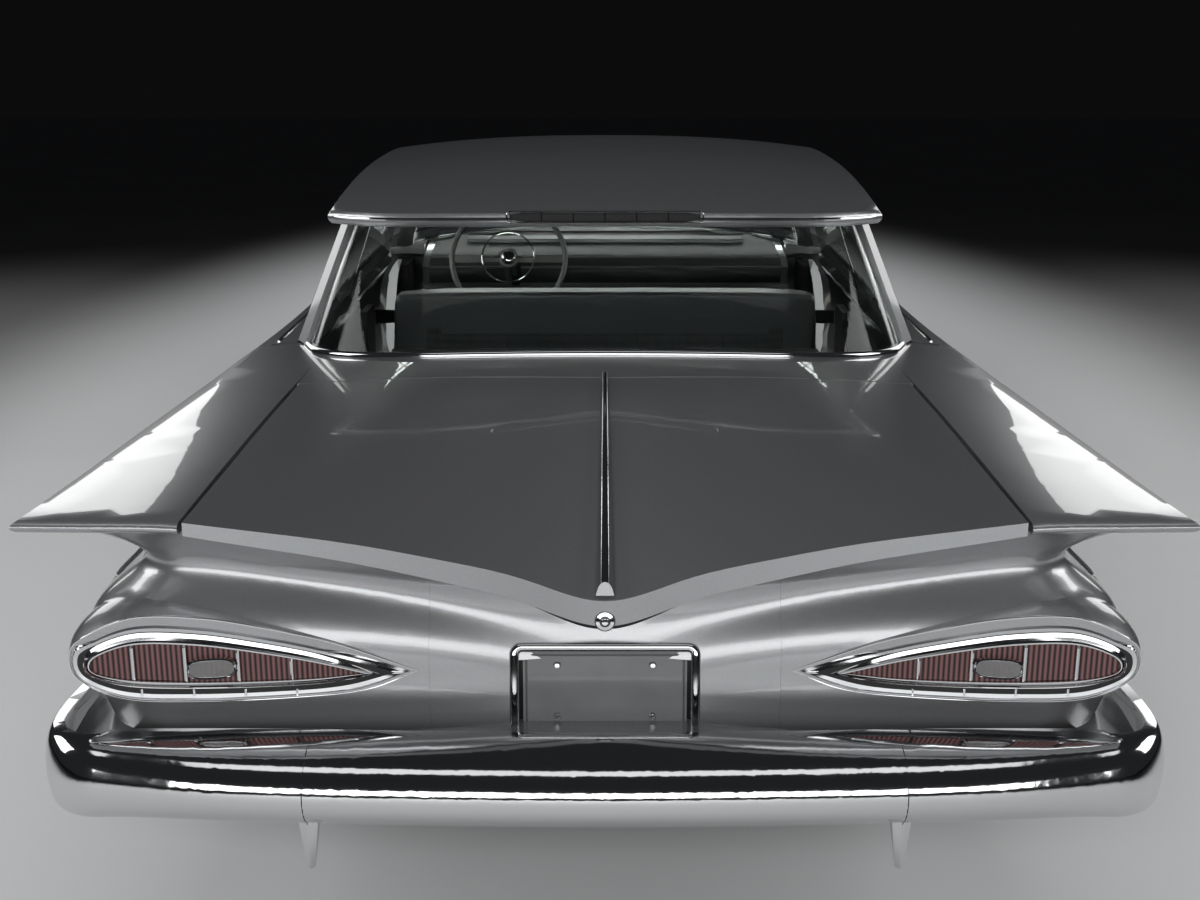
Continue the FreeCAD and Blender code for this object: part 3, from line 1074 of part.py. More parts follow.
# Nose panel with the grille opening and two nostrils.
nose_half = 0.86 * HALF_W
grid_out, grid_in = [], []
for z_share in (0.0, 0.25, 0.5, 1.0):
    row = []
    for s in LID_MARKS:
        x = (2 * s - 1) * nose_half
        y = nose_y(x) - 3
        low_z, high_z = 0.25 * TALL, top_z(x, y) - skin - 5
        row.append(V(x, y - 78 * (1 - z_share) ** 1.5, low_z + (high_z - low_z) * z_share))
    grid_out.append(row)
    grid_in.append([p - V(0, 34, 0) for p in row])
nose_panel = slab([grid_out, grid_in], [0.0, 0.25, 0.5, 1.0], LID_MARKS)
mouth = 0.80 * HALF_W
opening = box(-mouth, mouth, NOSE - 60, HALF_L, 0.345 * TALL, 0.505 * TALL)
nose_panel = nose_panel.cut(opening)
for side in (-1, 1):
    nose_panel = nose_panel.cut(box(min(side * 850, side * 1000), max(side * 850, side * 1000), NOSE - 200, HALF_L, 0, 0.35 * TALL))
for side in (-1, 1):
    nostril = box(-170, 170, NOSE, HALF_L, -14, 14)
    nostril.translate(V(side * 260, 0, 0.548 * TALL))
    nose_panel = nose_panel.cut(nostril)
for side in (right_fender, mirrored(right_fender)):
    nose_panel = nose_panel.cut(side)
feature("nose_panel", nose_panel)

GRILLE_Y = NOSE + 30
LAMP_Z = 0.432 * TALL
bars = box(-mouth + 0.5, mouth - 0.5, GRILLE_Y, GRILLE_Y + 12, 0.345 * TALL + 0.5, 0.505 * TALL - 0.5)
cells = None
for row in range(4):
    for column_number in range(12):
        wide = (2 * mouth - 20) / 12
        x = -mouth + 10 + column_number * wide
        z = 0.345 * TALL + 10 + row * (0.16 * TALL - 14) / 4
        hole = box(x + 5, x + wide - 5, GRILLE_Y - 10, GRILLE_Y + 30, z + 4, z + (0.16 * TALL - 14) / 4 - 4)
        cells = hole if cells is None else cells.fuse(hole)
grille = bars.cut(cells)
lamp_radius = size("HeadlampRadius")
lamps = []
for x in (0.535 * HALF_W, 0.535 * HALF_W + 2 * lamp_radius + 27):
    ring_hole = Part.makeCylinder(lamp_radius + 0.3, 80, V(x, GRILLE_Y - 20, LAMP_Z), V(0, 1, 0))
    boss = Part.makeCylinder(lamp_radius + 11, 34, V(x, GRILLE_Y - 1, LAMP_Z), V(0, 1, 0))
    for flip in (1, -1):
        b, h = (boss, ring_hole) if flip > 0 else (mirrored(boss), mirrored(ring_hole))
        grille = grille.fuse(b).cut(h)
    dome = Part.makeSphere(lamp_radius * 1.8, V(x, GRILLE_Y + 30 - lamp_radius * 1.55, LAMP_Z))
    can = Part.makeCylinder(lamp_radius, 60, V(x, GRILLE_Y, LAMP_Z), V(0, 1, 0)).common(dome)
    lamps += [can, mirrored(can)]
feature("grille", grille)
feature("headlamps", Part.makeCompound(lamps))

doc.recompute()
os.makedirs("parts", exist_ok=True)
written = 0
for piece in doc.Objects:
    if any(word in ("Invalid", "Error") for word in piece.State):
        raise RuntimeError("%s failed: %s" % (piece.Label, piece.State))
    if piece.isDerivedFrom("Part::Feature") and piece.Shape.isNull():
        raise RuntimeError("%s has no shape" % piece.Label)
for piece in doc.Objects:
    if piece.TypeId in ("Part::Feature", "PartDesign::Body"):
        shape = piece.Shape
        print(piece.Label, shape.isValid(), round(shape.Volume / 1e6, 2), len(shape.Solids))
        shape.exportStep("parts/%s.step" % piece.Label)
        written += 1
print(written, "pieces written")
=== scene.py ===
import math

import bmesh
import bpy
from mathutils import Matrix, Vector
from mathutils.bvhtree import BVHTree


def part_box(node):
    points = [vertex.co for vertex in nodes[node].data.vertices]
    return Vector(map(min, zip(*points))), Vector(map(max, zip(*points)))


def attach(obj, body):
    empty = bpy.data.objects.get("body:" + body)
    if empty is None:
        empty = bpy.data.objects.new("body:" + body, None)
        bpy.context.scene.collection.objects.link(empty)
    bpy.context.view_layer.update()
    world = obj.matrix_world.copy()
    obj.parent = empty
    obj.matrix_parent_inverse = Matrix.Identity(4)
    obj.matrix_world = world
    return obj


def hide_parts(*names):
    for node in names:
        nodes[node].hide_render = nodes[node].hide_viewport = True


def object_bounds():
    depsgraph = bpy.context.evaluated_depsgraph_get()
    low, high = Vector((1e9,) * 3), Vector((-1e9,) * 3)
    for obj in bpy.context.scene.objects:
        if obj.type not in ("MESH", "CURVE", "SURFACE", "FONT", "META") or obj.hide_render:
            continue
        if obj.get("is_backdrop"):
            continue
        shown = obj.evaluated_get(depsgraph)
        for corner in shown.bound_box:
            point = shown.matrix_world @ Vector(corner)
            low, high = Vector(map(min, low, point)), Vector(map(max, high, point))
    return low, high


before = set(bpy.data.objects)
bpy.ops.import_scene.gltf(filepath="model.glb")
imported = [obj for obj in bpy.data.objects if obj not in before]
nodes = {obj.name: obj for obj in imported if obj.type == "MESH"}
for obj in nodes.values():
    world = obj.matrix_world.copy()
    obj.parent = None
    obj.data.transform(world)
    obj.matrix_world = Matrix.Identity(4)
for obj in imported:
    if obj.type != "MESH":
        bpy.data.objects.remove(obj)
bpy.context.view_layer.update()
scene = bpy.context.scene

# Camera: a long lens behind the tail, a little above the roof and looking down on the deck.
# The picture is 1200 pixels wide, and 1500 of them are the focal length. The car stands 5 of them to the
# right of its middle.
PICTURE_WIDE, FOCAL_LENGTH, MIDDLE_SHIFT = 1200, 1500, -5
LOOKS_DOWN = 15.29
lens = bpy.data.cameras.new("tail_view")
lens.sensor_width = 36.0
lens.lens = lens.sensor_width * FOCAL_LENGTH / PICTURE_WIDE
lens.shift_x = MIDDLE_SHIFT / PICTURE_WIDE
lens.clip_end = 200.0
camera = bpy.data.objects.new("tail_view", lens)
camera.location = (0.0, -4.9815, 1.718)
camera.rotation_euler = (math.radians(90 - LOOKS_DOWN), 0, 0)
scene.collection.objects.link(camera)
scene.camera = camera
scene.view_settings.view_transform = "Standard"


# Studio: a floor painted with a pool of light that fades to near-black, a black drape round it, and nine soft
# boxes.
# Two stand behind the camera and light the tail; those at the flanks and ahead draw the long highlights on
# the wings. The drape stays dark, so that upward faces mirror something dark.
def linear(code):
    """An sRGB hex colour as linear red, green, blue and 1."""
    parts = [int(code[i:i + 2], 16) / 255 for i in (1, 3, 5)]
    return [c / 12.92 if c <= 0.04045 else ((c + 0.055) / 1.055) ** 2.4 for c in parts] + [1.0]


def node(tree, kind, sockets=None, feeds=None, **settings):
    """Adds a node with its settings, sets or links its sockets, and links its first live output to feeds."""
    made = tree.nodes.new(kind)
    for key, value in settings.items():
        setattr(made, key, value)
    for key, value in (sockets or {}).items():
        if isinstance(value, bpy.types.NodeSocket):
            tree.links.new(value, made.inputs[key])
        else:
            made.inputs[key].default_value = value
    if feeds is not None:
        tree.links.new(next(output for output in made.outputs if output.enabled), feeds)
    return made


def finish_of(name, sockets):
    """A material with one Principled shader; returns it, its tree, the shader and its Object coordinates."""
    material = bpy.data.materials.new(name)
    material.use_nodes = True
    tree = material.node_tree
    tree.nodes.clear()
    shader = node(tree, "ShaderNodeBsdfPrincipled", sockets)
    node(tree, "ShaderNodeOutputMaterial", {"Surface": shader.outputs["BSDF"]})
    return material, tree, shader, node(tree, "ShaderNodeTexCoord").outputs["Object"]


def per_mm(size):
    """The Scale at which one unit of a pattern is size millimetres."""
    return 1000 / size


# Floor paint: rolled on, matt, with patches of about 900 mm that are a little glossier.
# Its colour is a painted pool of light: pale round the car, fading to near-black 4.3 m out at the sides and
# 14 m ahead.
floor_paint, tree, shader, place = finish_of("studio_floor_paint", {
    "Base Color": linear("#c6c7c8"), "Roughness": 0.55})
mottle = node(tree, "ShaderNodeTexNoise", {"Vector": place, "Scale": per_mm(900), "Detail": 3.0})
node(tree, "ShaderNodeMapRange", {"Value": mottle.outputs["Fac"], "To Min": 0.50, "To Max": 0.62},
     feeds=shader.inputs["Roughness"])
oval = node(tree, "ShaderNodeMapping", {"Vector": place, "Scale": (1 / 4.3, 1 / 14.0, 1.0)})
painted_light_pool = node(tree, "ShaderNodeTexGradient", {"Vector": oval.outputs["Vector"]}, gradient_type="SPHERICAL")
fade = node(tree, "ShaderNodeMapRange", {"Value": painted_light_pool.outputs["Fac"], "From Min": 0.0, "From Max": 0.52},
            interpolation_type="SMOOTHERSTEP")
# Painted light: the falloff darkens the floor's colour away from the car.
node(tree, "ShaderNodeMix", {
    "Factor": fade.outputs["Result"], "A": linear("#0e0e0f"), "B": linear("#c6c7c8")},
     feeds=shader.inputs["Base Color"], data_type="RGBA")
bm = bmesh.new()
bmesh.ops.create_grid(bm, x_segments=4, y_segments=4, size=30)
bmesh.ops.translate(bm, verts=bm.verts, vec=(0, 0, -0.001))
mesh = bpy.data.meshes.new("studio_floor")
bm.to_mesh(mesh)
bm.free()
floor = bpy.data.objects.new("studio_floor", mesh)
mesh.materials.append(floor_paint)
scene.collection.objects.link(floor)
floor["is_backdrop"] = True

# The drape is darker to the camera than in mirrors, so that polished metal keeps some tone.
world = bpy.data.worlds.new("studio")
world.use_nodes = True
seen = node(world.node_tree, "ShaderNodeLightPath")
node(world.node_tree, "ShaderNodeMix", {
    "Factor": seen.outputs["Is Camera Ray"], "A": linear("#242527"), "B": linear("#0c0c0d")},
    feeds=world.node_tree.nodes["Background"].inputs["Color"], data_type="RGBA")
scene.world = world


def soft_box(name, spot, aim, wide, high, power, mirrored=True):
    """A rectangular lamp at spot, turned to aim. Sizes are in metres and its power in watts."""
    light = bpy.data.lights.new(name, "AREA")
    light.shape = "RECTANGLE"
    light.size = wide
    light.size_y = high
    light.energy = power
    holder = bpy.data.objects.new(name, light)
    holder.location = spot
    holder.rotation_euler = (Vector(aim) - Vector(spot)).to_track_quat("-Z", "Y").to_euler()
    holder.visible_camera = False
    holder.visible_glossy = mirrored
    scene.collection.objects.link(holder)


soft_box("key_behind_camera", (-1.2, -9.0, 3.4), (0, -2.4, 0.6), 5.0, 2.4, 440, mirrored=False)
soft_box("low_behind_camera", (0, -9.6, 2.3), (0, -2.4, 0.9), 9.5, 2.2, 205)
soft_box("strip_over_tail", (0, -3.6, 5.0), (0, -2.4, 0.75), 5.0, 1.0, 16)
soft_box("left_flank", (-6.5, -1.5, 4.2), (0, -0.6, 0.5), 4.0, 3.0, 130)
soft_box("right_flank", (6.5, -1.5, 4.2), (0, -0.6, 0.5), 4.0, 3.0, 130)
soft_box("left_ahead", (-5.6, 6.5, 3.0), (-0.9, -1.6, 0.9), 4.2, 3.4, 75)
soft_box("right_ahead", (5.6, 6.5, 3.0), (0.9, -1.6, 0.9), 4.2, 3.4, 75)
soft_box("over_nose", (0, 8.5, 4.2), (0, 2.2, 0.6), 4.5, 2.0, 160, mirrored=False)
soft_box("overhead", (0, -0.6, 6.0), (0, -0.4, 0), 5.0, 3.5, 80, mirrored=False)


# Body shell: pressed steel panels in sprayed metallic lacquer, wings and doors bolted on and roof welded.
# Flakes under a clear coat make faces toward the light pale and raked faces dark, with soft long highlights.
def dress(names, material, crease=32):
    """Gives CAD nodes a material, and shades them smooth across edges of less than crease degrees."""
    for name in names:
        piece = nodes[name]
        piece.data.materials.clear()
        piece.data.materials.append(material)
        piece.data.shade_smooth()
        weld = piece.modifiers.new("weld", "WELD")
        weld.merge_threshold = 0.00002
        edges = piece.modifiers.new("creases", "EDGE_SPLIT")
        edges.split_angle = math.radians(crease)


lacquer, tree, shader, place = finish_of("metallic_lacquer_on_steel", {
    "Base Color": linear("#a3a4a6"), "Metallic": 0.82, "Roughness": 0.30,
    "Coat Weight": 1.0, "Coat Roughness": 0.03})
# Flakes of about 1.5 mm, drawn coarser than real ones so that they show, and the gun's orange peel at 9 mm.
flake = node(tree, "ShaderNodeTexVoronoi", {"Vector": place, "Scale": per_mm(1.5)})
node(tree, "ShaderNodeMix", {"Factor": 0.10, "A": linear("#a0a1a3"), "B": flake.outputs["Color"]},
     feeds=shader.inputs["Base Color"], data_type="RGBA", blend_type="SOFT_LIGHT")
peel = node(tree, "ShaderNodeTexNoise", {"Vector": place, "Scale": per_mm(9), "Detail": 2.0})
node(tree, "ShaderNodeBump", {"Height": peel.outputs["Fac"], "Strength": 0.03, "Distance": 0.0004},
     feeds=shader.inputs["Normal"])
dress(["fender_left", "fender_right", "quarter_left", "quarter_right", "tail_panel", "deck_panel", "roof",
       "cowl", "hood", "trunk_lid", "door_front_left", "door_front_right", "door_rear_left",
       "door_rear_right", "nose_panel"], lacquer)

# Underbody: welded frame, axle and knuckles in chassis black, the floor sprayed with matt undercoat.
# Road film dulls both, so the gloss is broken and it shows a little brown in patches.
chassis, tree, shader, place = finish_of("chassis_black_enamel", {
    "Base Color": linear("#1b1b1c"), "Roughness": 0.45})
film = node(tree, "ShaderNodeTexNoise", {"Vector": place, "Scale": per_mm(60), "Detail": 6.0})
node(tree, "ShaderNodeMix", {"Factor": film.outputs["Fac"], "A": linear("#171718"), "B": linear("#302d29")},
     feeds=shader.inputs["Base Color"], data_type="RGBA")
node(tree, "ShaderNodeBump", {"Height": film.outputs["Fac"], "Strength": 0.15, "Distance": 0.001},
     feeds=shader.inputs["Normal"])
dress(["frame", "rear_axle", "knuckle_left", "knuckle_right"], chassis)
undercoat, tree, shader, place = finish_of("bitumen_undercoat", {
    "Base Color": linear("#242424"), "Roughness": 0.85})
grit = node(tree, "ShaderNodeTexNoise", {"Vector": place, "Scale": per_mm(6), "Detail": 4.0})
node(tree, "ShaderNodeBump", {"Height": grit.outputs["Fac"], "Strength": 0.5, "Distance": 0.0008},
     feeds=shader.inputs["Normal"])
dress(["floor"], undercoat)

# Engine and gearbox: a plain mass in cast iron, painted grey at the works.
# Sand casting leaves a grain of a millimetre or two and no gloss.
cast_iron, tree, shader, place = finish_of("painted_cast_iron", {
    "Base Color": linear("#4a4c4c"), "Roughness": 0.6, "Metallic": 0.2})
sand = node(tree, "ShaderNodeTexNoise", {"Vector": place, "Scale": per_mm(2.5), "Detail": 3.0})
node(tree, "ShaderNodeBump", {"Height": sand.outputs["Fac"], "Strength": 0.35, "Distance": 0.0005},
     feeds=shader.inputs["Normal"])
dress(["powertrain"], cast_iron)

# Bumpers, deck spear, rims and grille: steel pressings with polished chromium plate, and an anodised grille.
# The plate mirrors the pale floor below and the dark studio above, with faint polishing haze.
chrome, tree, shader, place = finish_of("polished_chromium_plate", {
    "Base Color": linear("#d9dadb"), "Metallic": 1.0, "Roughness": 0.07})
haze = node(tree, "ShaderNodeTexNoise", {"Vector": place, "Scale": per_mm(140), "Detail": 3.0})
node(tree, "ShaderNodeMapRange", {"Value": haze.outputs["Fac"], "To Min": 0.05, "To Max": 0.11},
     feeds=shader.inputs["Roughness"])
dress(["front_bumper", "rear_bumper", "deck_spear"], chrome, 40)
dress(["wheel_front_left", "wheel_front_right", "wheel_rear_left", "wheel_rear_right"], chrome, 30)
# The grille is brushed along its bars, which draws the highlights out sideways.
satin, tree, shader, place = finish_of("anodised_aluminium", {
    "Base Color": linear("#b9babc"), "Metallic": 1.0, "Roughness": 0.28})
along = node(tree, "ShaderNodeMapping", {"Vector": place, "Scale": (1 / 60, 1.0, 1.0)})
brush = node(tree, "ShaderNodeTexNoise", {
    "Vector": along.outputs["Vector"], "Scale": per_mm(2), "Detail": 2.0})
node(tree, "ShaderNodeBump", {"Height": brush.outputs["Fac"], "Strength": 0.08, "Distance": 0.0002},
     feeds=shader.inputs["Normal"])
dress(["grille"], satin)

# Glass: laminated windshield and tempered panes with a very slight tint, so the cabin shows through.
# A wiped-on veil, in patches of about 220 mm, lets a little less through here and there.
window, tree, shader, place = finish_of("plate_glass", {
    "Base Color": linear("#eef1ef"), "Roughness": 0.0, "Transmission Weight": 1.0, "IOR": 1.22})
veil = node(tree, "ShaderNodeTexNoise", {"Vector": place, "Scale": per_mm(220), "Detail": 2.0})
node(tree, "ShaderNodeMix", {"Factor": veil.outputs["Fac"], "A": linear("#f1f4f2"), "B": linear("#e4e9e6")},
     feeds=shader.inputs["Base Color"], data_type="RGBA")
dress(["windshield", "rear_window", "glass_front_left", "glass_front_right", "glass_rear_left",
       "glass_rear_right"], window)


# Tail lamp lenses: moulded red acrylic with vertical optic ribs 9 mm apart inside a plain outer skin.
# Their colour is painted shade and highlight: near-black plum in the troughs and pinker on the crests.
def band_each(pitch):
    """The Scale at which a Wave Texture has a band each pitch millimetres; at 1, it has one each tau / 20."""
    return math.tau / 20 * per_mm(pitch)


ruby, tree, shader, place = finish_of("moulded_red_acrylic", {
    "Base Color": linear("#6b4444"), "Roughness": 0.35, "Specular IOR Level": 0.2,
    "Coat Weight": 0.12, "Coat Roughness": 0.02})
ribs = node(tree, "ShaderNodeTexWave", {"Vector": place, "Scale": band_each(9)}, bands_direction="X")
node(tree, "ShaderNodeBump", {"Height": ribs.outputs["Fac"], "Strength": 0.4, "Distance": 0.0012},
     feeds=shader.inputs["Normal"])
# Painted shade in the rib troughs and a painted highlight on their crests.
node(tree, "ShaderNodeMix", {"Factor": ribs.outputs["Fac"], "A": linear("#1b1414"), "B": linear("#6a4c4c")},
     feeds=shader.inputs["Base Color"], data_type="RGBA")
dress(["tail_lamp_left", "tail_lamp_right"], ruby)


# Tail lamp bezels: one zinc casting a side, chromium plated, that turns the teardrop housing into the lens.
# A fine bead lines the lens, then a recessed groove painted black as painted shade, a broad bright rim with a
# scribed line also painted black as shade, and a thin edge.
def smooth_line(points, count):
    """A smooth line through the points, as count + 1 places."""
    ring = [Vector(p) for p in points]
    places = []
    for k in range(count + 1):
        t = k * (len(ring) - 1) / count
        i = min(int(t), len(ring) - 2)
        t -= i
        a, b = ring[i], ring[i + 1]
        before = ring[i - 1] if i > 0 else a * 2 - b
        after = ring[i + 2] if i + 2 < len(ring) else b * 2 - a
        places.append(0.5 * (2 * a + (b - before) * t + (2 * before - 5 * a + 4 * b - after) * t ** 2
                             + (3 * a - before - 3 * b + after) * t ** 3))
    return places


def loops_joined(bm, rings, closed=True):
    """Lines of places, each extruded from the one before. Returns the faces of each band."""
    verts = [bm.verts.new(p) for p in rings[0]]
    edges = [bm.edges.new(pair) for pair in zip(verts, verts[1:] + verts[:1] if closed else verts[1:])]
    bands = []
    for ring in rings[1:]:
        number = {v.co.copy().freeze(): i for i, v in enumerate(verts)}
        made = bmesh.ops.extrude_edge_only(bm, edges=edges)["geom"]
        for v in made:
            if isinstance(v, bmesh.types.BMVert):
                verts[number[v.co.copy().freeze()]] = v
        own = set(verts)
        edges = [e for e in made if isinstance(e, bmesh.types.BMEdge) and set(e.verts) <= own]
        bands.append([f for f in made if isinstance(f, bmesh.types.BMFace)])
        for v, p in zip(verts, ring):
            v.co = p
    bm.normal_update()
    return bands


def placed(name, bm, materials, body, sharp=35, clean=True):
    """Makes a bmesh an object at the origin that rides on a body; edges over sharp degrees stay sharp."""
    if clean:
        bmesh.ops.recalc_face_normals(bm, faces=bm.faces)
    mesh = bpy.data.meshes.new(name)
    bm.to_mesh(mesh)
    bm.free()
    for material in materials:
        mesh.materials.append(material)
    mesh.shade_smooth()
    mesh.set_sharp_from_angle(angle=math.radians(sharp))
    piece = bpy.data.objects.new(name, mesh)
    scene.collection.objects.link(piece)
    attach(piece, body)
    return piece


# A satin black, a little glossier in patches of 30 mm: painted shade in the bezel grooves and the plate's
# dish, and the dark bumper joints.
black_enamel_and_painted_shade, tree, shader, place = finish_of("black_joint_enamel_and_painted_shade", {
    "Base Color": linear("#101011"), "Roughness": 0.4})
wear = node(tree, "ShaderNodeTexNoise", {"Vector": place, "Scale": per_mm(30), "Detail": 4.0})
node(tree, "ShaderNodeMapRange", {"Value": wear.outputs["Fac"], "To Min": 0.32, "To Max": 0.5},
     feeds=shader.inputs["Roughness"])

# The outlines are shares of the car's half width, length and height. The first place of each is a corner.
HALF_WIDE, LENGTH, HEIGHT = 1.0145, 5.357, 1.4
TAIL_Y = -2.6785
LENS_LINE = [(0.426, 0.4295), (0.519, 0.4268), (0.623, 0.4282), (0.741, 0.4330), (0.830, 0.4400),
             (0.885, 0.4500), (0.903, 0.4613), (0.888, 0.4783), (0.825, 0.4917), (0.731, 0.4868),
             (0.636, 0.4733), (0.526, 0.4528)]
HOUSING_LINE = [(0.327, 0.4288), (0.423, 0.4045), (0.547, 0.3995), (0.711, 0.402), (0.846, 0.4125),
                (0.925, 0.446), (0.937, 0.484), (0.909, 0.508), (0.821, 0.5315), (0.700, 0.524),
                (0.588, 0.5035), (0.472, 0.4765)]
OUTLINE_PLACES = 132
SIDES = ((1, "right"), (-1, "left"))


def housing_face(x):
    """Where the slanted face of the lamp housing stands, in y."""
    return TAIL_Y + LENGTH * (0.0553 - 0.029 * abs(x) / HALF_WIDE)


def outline(points, wide_share, tall_share):
    """A closed smooth line through the points, drawn in towards their middle."""
    mid_x = sum(p[0] for p in points) / len(points)
    mid_z = sum(p[1] for p in points) / len(points)
    drawn = [((mid_x + (x - mid_x) * wide_share) * HALF_WIDE, 0, (mid_z + (z - mid_z) * tall_share) * HEIGHT)
             for x, z in points]
    return smooth_line(drawn + drawn[:1], OUTLINE_PLACES)[:-1]


lens_edge = outline(LENS_LINE, 0.975, 0.925)
housing_edge = outline(HOUSING_LINE, 0.972, 0.927)
# Each step has its share of the way out over the lens, and under it, its height off the housing's face in
# mm, and whether it is painted black, which is painted shade in the grooves.
BEZEL_STEPS = [(0.00, 0.01, 6, False), (0.02, 0.03, -3, False), (0.07, 0.10, -3, False),
               (0.09, 0.13, 3, True), (0.13, 0.17, 3, True), (0.16, 0.20, -5, False),
               (0.30, 0.27, -8, False), (0.44, 0.31, -6, False), (0.45, 0.33, -4, True),
               (0.47, 0.56, -4, True), (0.48, 0.58, -6, False), (0.60, 0.76, -7, False),
               (0.66, 0.94, 1, False)]
EDGE_STEPS = [(0.955, 1.0), (0.965, -3.5), (1.0, -3.5), (1.012, 1.0)]


def bezel_ring(over, under, lift, side):
    """A line round the lens at its shares of the way out, which blend over 20 mm at the lens's middle."""
    ring = []
    for inner, outer in zip(lens_edge, housing_edge):
        middle_z = 0.625 + 0.1 * (inner.x - 0.43)
        below = min(max((middle_z - inner.z) / 0.02, 0.0), 1.0)
        spot = inner + (outer - inner) * (over + (under - over) * below)
        ring.append(Vector((side * spot.x, housing_face(spot.x) + lift / 1000, spot.z)))
    return ring


for side, hand in SIDES:
    bm = bmesh.new()
    bands = loops_joined(bm, [bezel_ring(*step[:3], side) for step in BEZEL_STEPS])
    for band, step, after in zip(bands, BEZEL_STEPS, BEZEL_STEPS[1:]):
        for face in band:
            # Bands between two black steps get painted shade.
            face.material_index = 1 if step[3] and after[3] else 0
    placed("tail_lamp_bezel_" + hand, bm, [chrome, black_enamel_and_painted_shade], "root")
    bm = bmesh.new()
    loops_joined(bm, [bezel_ring(share, share, lift, side) for share, lift in EDGE_STEPS])
    placed("tail_lamp_outer_edge_" + hand, bm, [chrome], "root")


# Bars over the lens, studs on the rim under it, and the oblong reversing lamp between two of the bars.
# The bars are die-cast and plated; the reversing lamp has a plated hood and a clear moulded glass.
X, Y, Z = Vector((1, 0, 0)), Vector((0, 1, 0)), Vector((0, 0, 1))
BEHIND, UP, DOWN = -Y, Z, -Z
END_TAPER = 0.55


def moulding(bm, line, wide, high, up, closed=False, sides=8):
    """A bar with an oval section swept along a line; up is the way that its height points."""
    rings = []
    count = len(line)
    for i, p in enumerate(line):
        ahead = line[(i + 1) % count] if closed or i + 1 < count else p
        behind = line[i - 1] if closed or i > 0 else p
        run = (ahead - behind).normalized()
        across = run.cross(up).normalized()
        rise = across.cross(run).normalized()
        taper = 1.0 if closed or 0 < i < count - 1 else END_TAPER
        turn = Matrix((across * wide / 2 * taper, rise * high / 2 * taper, run)).transposed().to_4x4()
        turn.translation = p
        capped = not closed and i in (0, count - 1)
        made = bmesh.ops.create_circle(bm, cap_ends=capped, segments=sides, radius=1, matrix=turn)
        own = set(made["verts"])
        rings.append(list({e for v in own for e in v.link_edges if e.other_vert(v) in own}))
    pairs = list(zip(rings, rings[1:])) + ([(rings[-1], rings[0])] if closed else [])
    for a, b in pairs:
        bmesh.ops.bridge_loops(bm, edges=a + b)


def lens_height(x):
    """Lowest and highest z of the lens at x."""
    cuts = []
    for p, q in zip(lens_edge, lens_edge[1:] + lens_edge[:1]):
        if (p.x - x) * (q.x - x) <= 0 and p.x != q.x:
            cuts.append(p.z + (q.z - p.z) * (x - p.x) / (q.x - p.x))
    return min(cuts), max(cuts)


def rounded(way, power):
    """A sine or cosine drawn towards its ends, which turns a circle into an oblong with round corners."""
    return math.copysign(abs(way) ** power, way)


# The clear glass has flutes 1.9 mm apart on its face, which blur what is behind it.
clear_glass, tree, shader, place = finish_of("clear_pressed_glass", {
    "Base Color": linear("#dfe3e4"), "Roughness": 0.05, "Transmission Weight": 0.85})
flutes = node(tree, "ShaderNodeTexWave", {"Vector": place, "Scale": per_mm(6)}, bands_direction="X")
node(tree, "ShaderNodeBump", {"Height": flutes.outputs["Fac"], "Strength": 0.6, "Distance": 0.0012},
     feeds=shader.inputs["Normal"])
BAR_PLACES = (0.838, 0.749, 0.658, 0.566)
STUD_PLACES = ((0.826, 0.596), (0.737, 0.590), (0.648, 0.584), (0.558, 0.578))
REVERSING_X, REVERSING_Z = 0.704, 0.633
for side, hand in SIDES:
    bm = bmesh.new()
    for x in BAR_PLACES:
        low, high = lens_height(x)
        y = housing_face(x) - 0.001
        line = [Vector((side * x, y + 0.004, low - 0.003)), Vector((side * x, y - 0.002, low + 0.004)),
                Vector((side * x, y - 0.002, high - 0.004)), Vector((side * x, y + 0.004, high + 0.003))]
        moulding(bm, line, 0.0075, 0.007, BEHIND)
    for x, z in STUD_PLACES:
        y = housing_face(x) - 0.006
        line = [Vector((side * x, y, z - 0.008)), Vector((side * x, y, z + 0.006))]
        moulding(bm, line, 0.0075, 0.005, BEHIND)
    placed("tail_lamp_bars_" + hand, bm, [chrome], "root")
    bm = bmesh.new()
    ring = []
    for k in range(40):
        turn = math.tau * k / 40
        x = REVERSING_X + 0.040 * rounded(math.cos(turn), 0.6)
        z = REVERSING_Z + 0.0175 * rounded(math.sin(turn), 0.75)
        ring.append(Vector((side * x, housing_face(x) - 0.004, z)))
    moulding(bm, ring, 0.006, 0.012, BEHIND, closed=True)
    placed("reversing_lamp_hood_" + hand, bm, [chrome], "root")
    bm = bmesh.new()
    face = bm.faces.new([bm.verts.new(p) for p in ring])
    for thick, deep in ((0.003, 0.003), (0.006, 0.002)):
        bmesh.ops.inset_region(bm, faces=[face], thickness=thick, depth=0, use_even_offset=True)
        bmesh.ops.translate(bm, verts=face.verts, vec=(0, -deep, 0))
    bmesh.ops.poke(bm, faces=[face])
    placed("reversing_lamp_glass_" + hand, bm, [clear_glass], "root")


# Number plate: a blank pressed from aluminium and enamelled, in a plated surround over the tail's recess.
# The surround is a roll-formed strip round a black dish, painted shade in the tail's recess; four bolts hold
# the plate.
def skin_of(*names):
    """A search tree over the faces of CAD nodes."""
    bm = bmesh.new()
    for name in names:
        bm.from_mesh(nodes[name].data)
    found = BVHTree.FromBMesh(bm)
    bm.free()
    return found


def land(skin, start, way, lift=0.0):
    """Where a ray from start, which is clear of the car, meets the skin, lifted back by lift metres."""
    way = Vector(way).normalized()
    spot = skin.ray_cast(Vector(start), way)[0]
    return None if spot is None else spot - way * lift


def round_cornered(half_wide, low, high, radius, step):
    """An upright oblong with arcs at its corners, as x and z of places that are step degrees apart."""
    places = []
    for x, z, start in ((half_wide, low, 270), (half_wide, high, 0), (-half_wide, high, 90),
                        (-half_wide, low, 180)):
        for degrees in range(start, start + 91, step):
            turn = math.radians(degrees)
            places.append((x + radius * math.cos(turn), z + radius * math.sin(turn)))
    return places


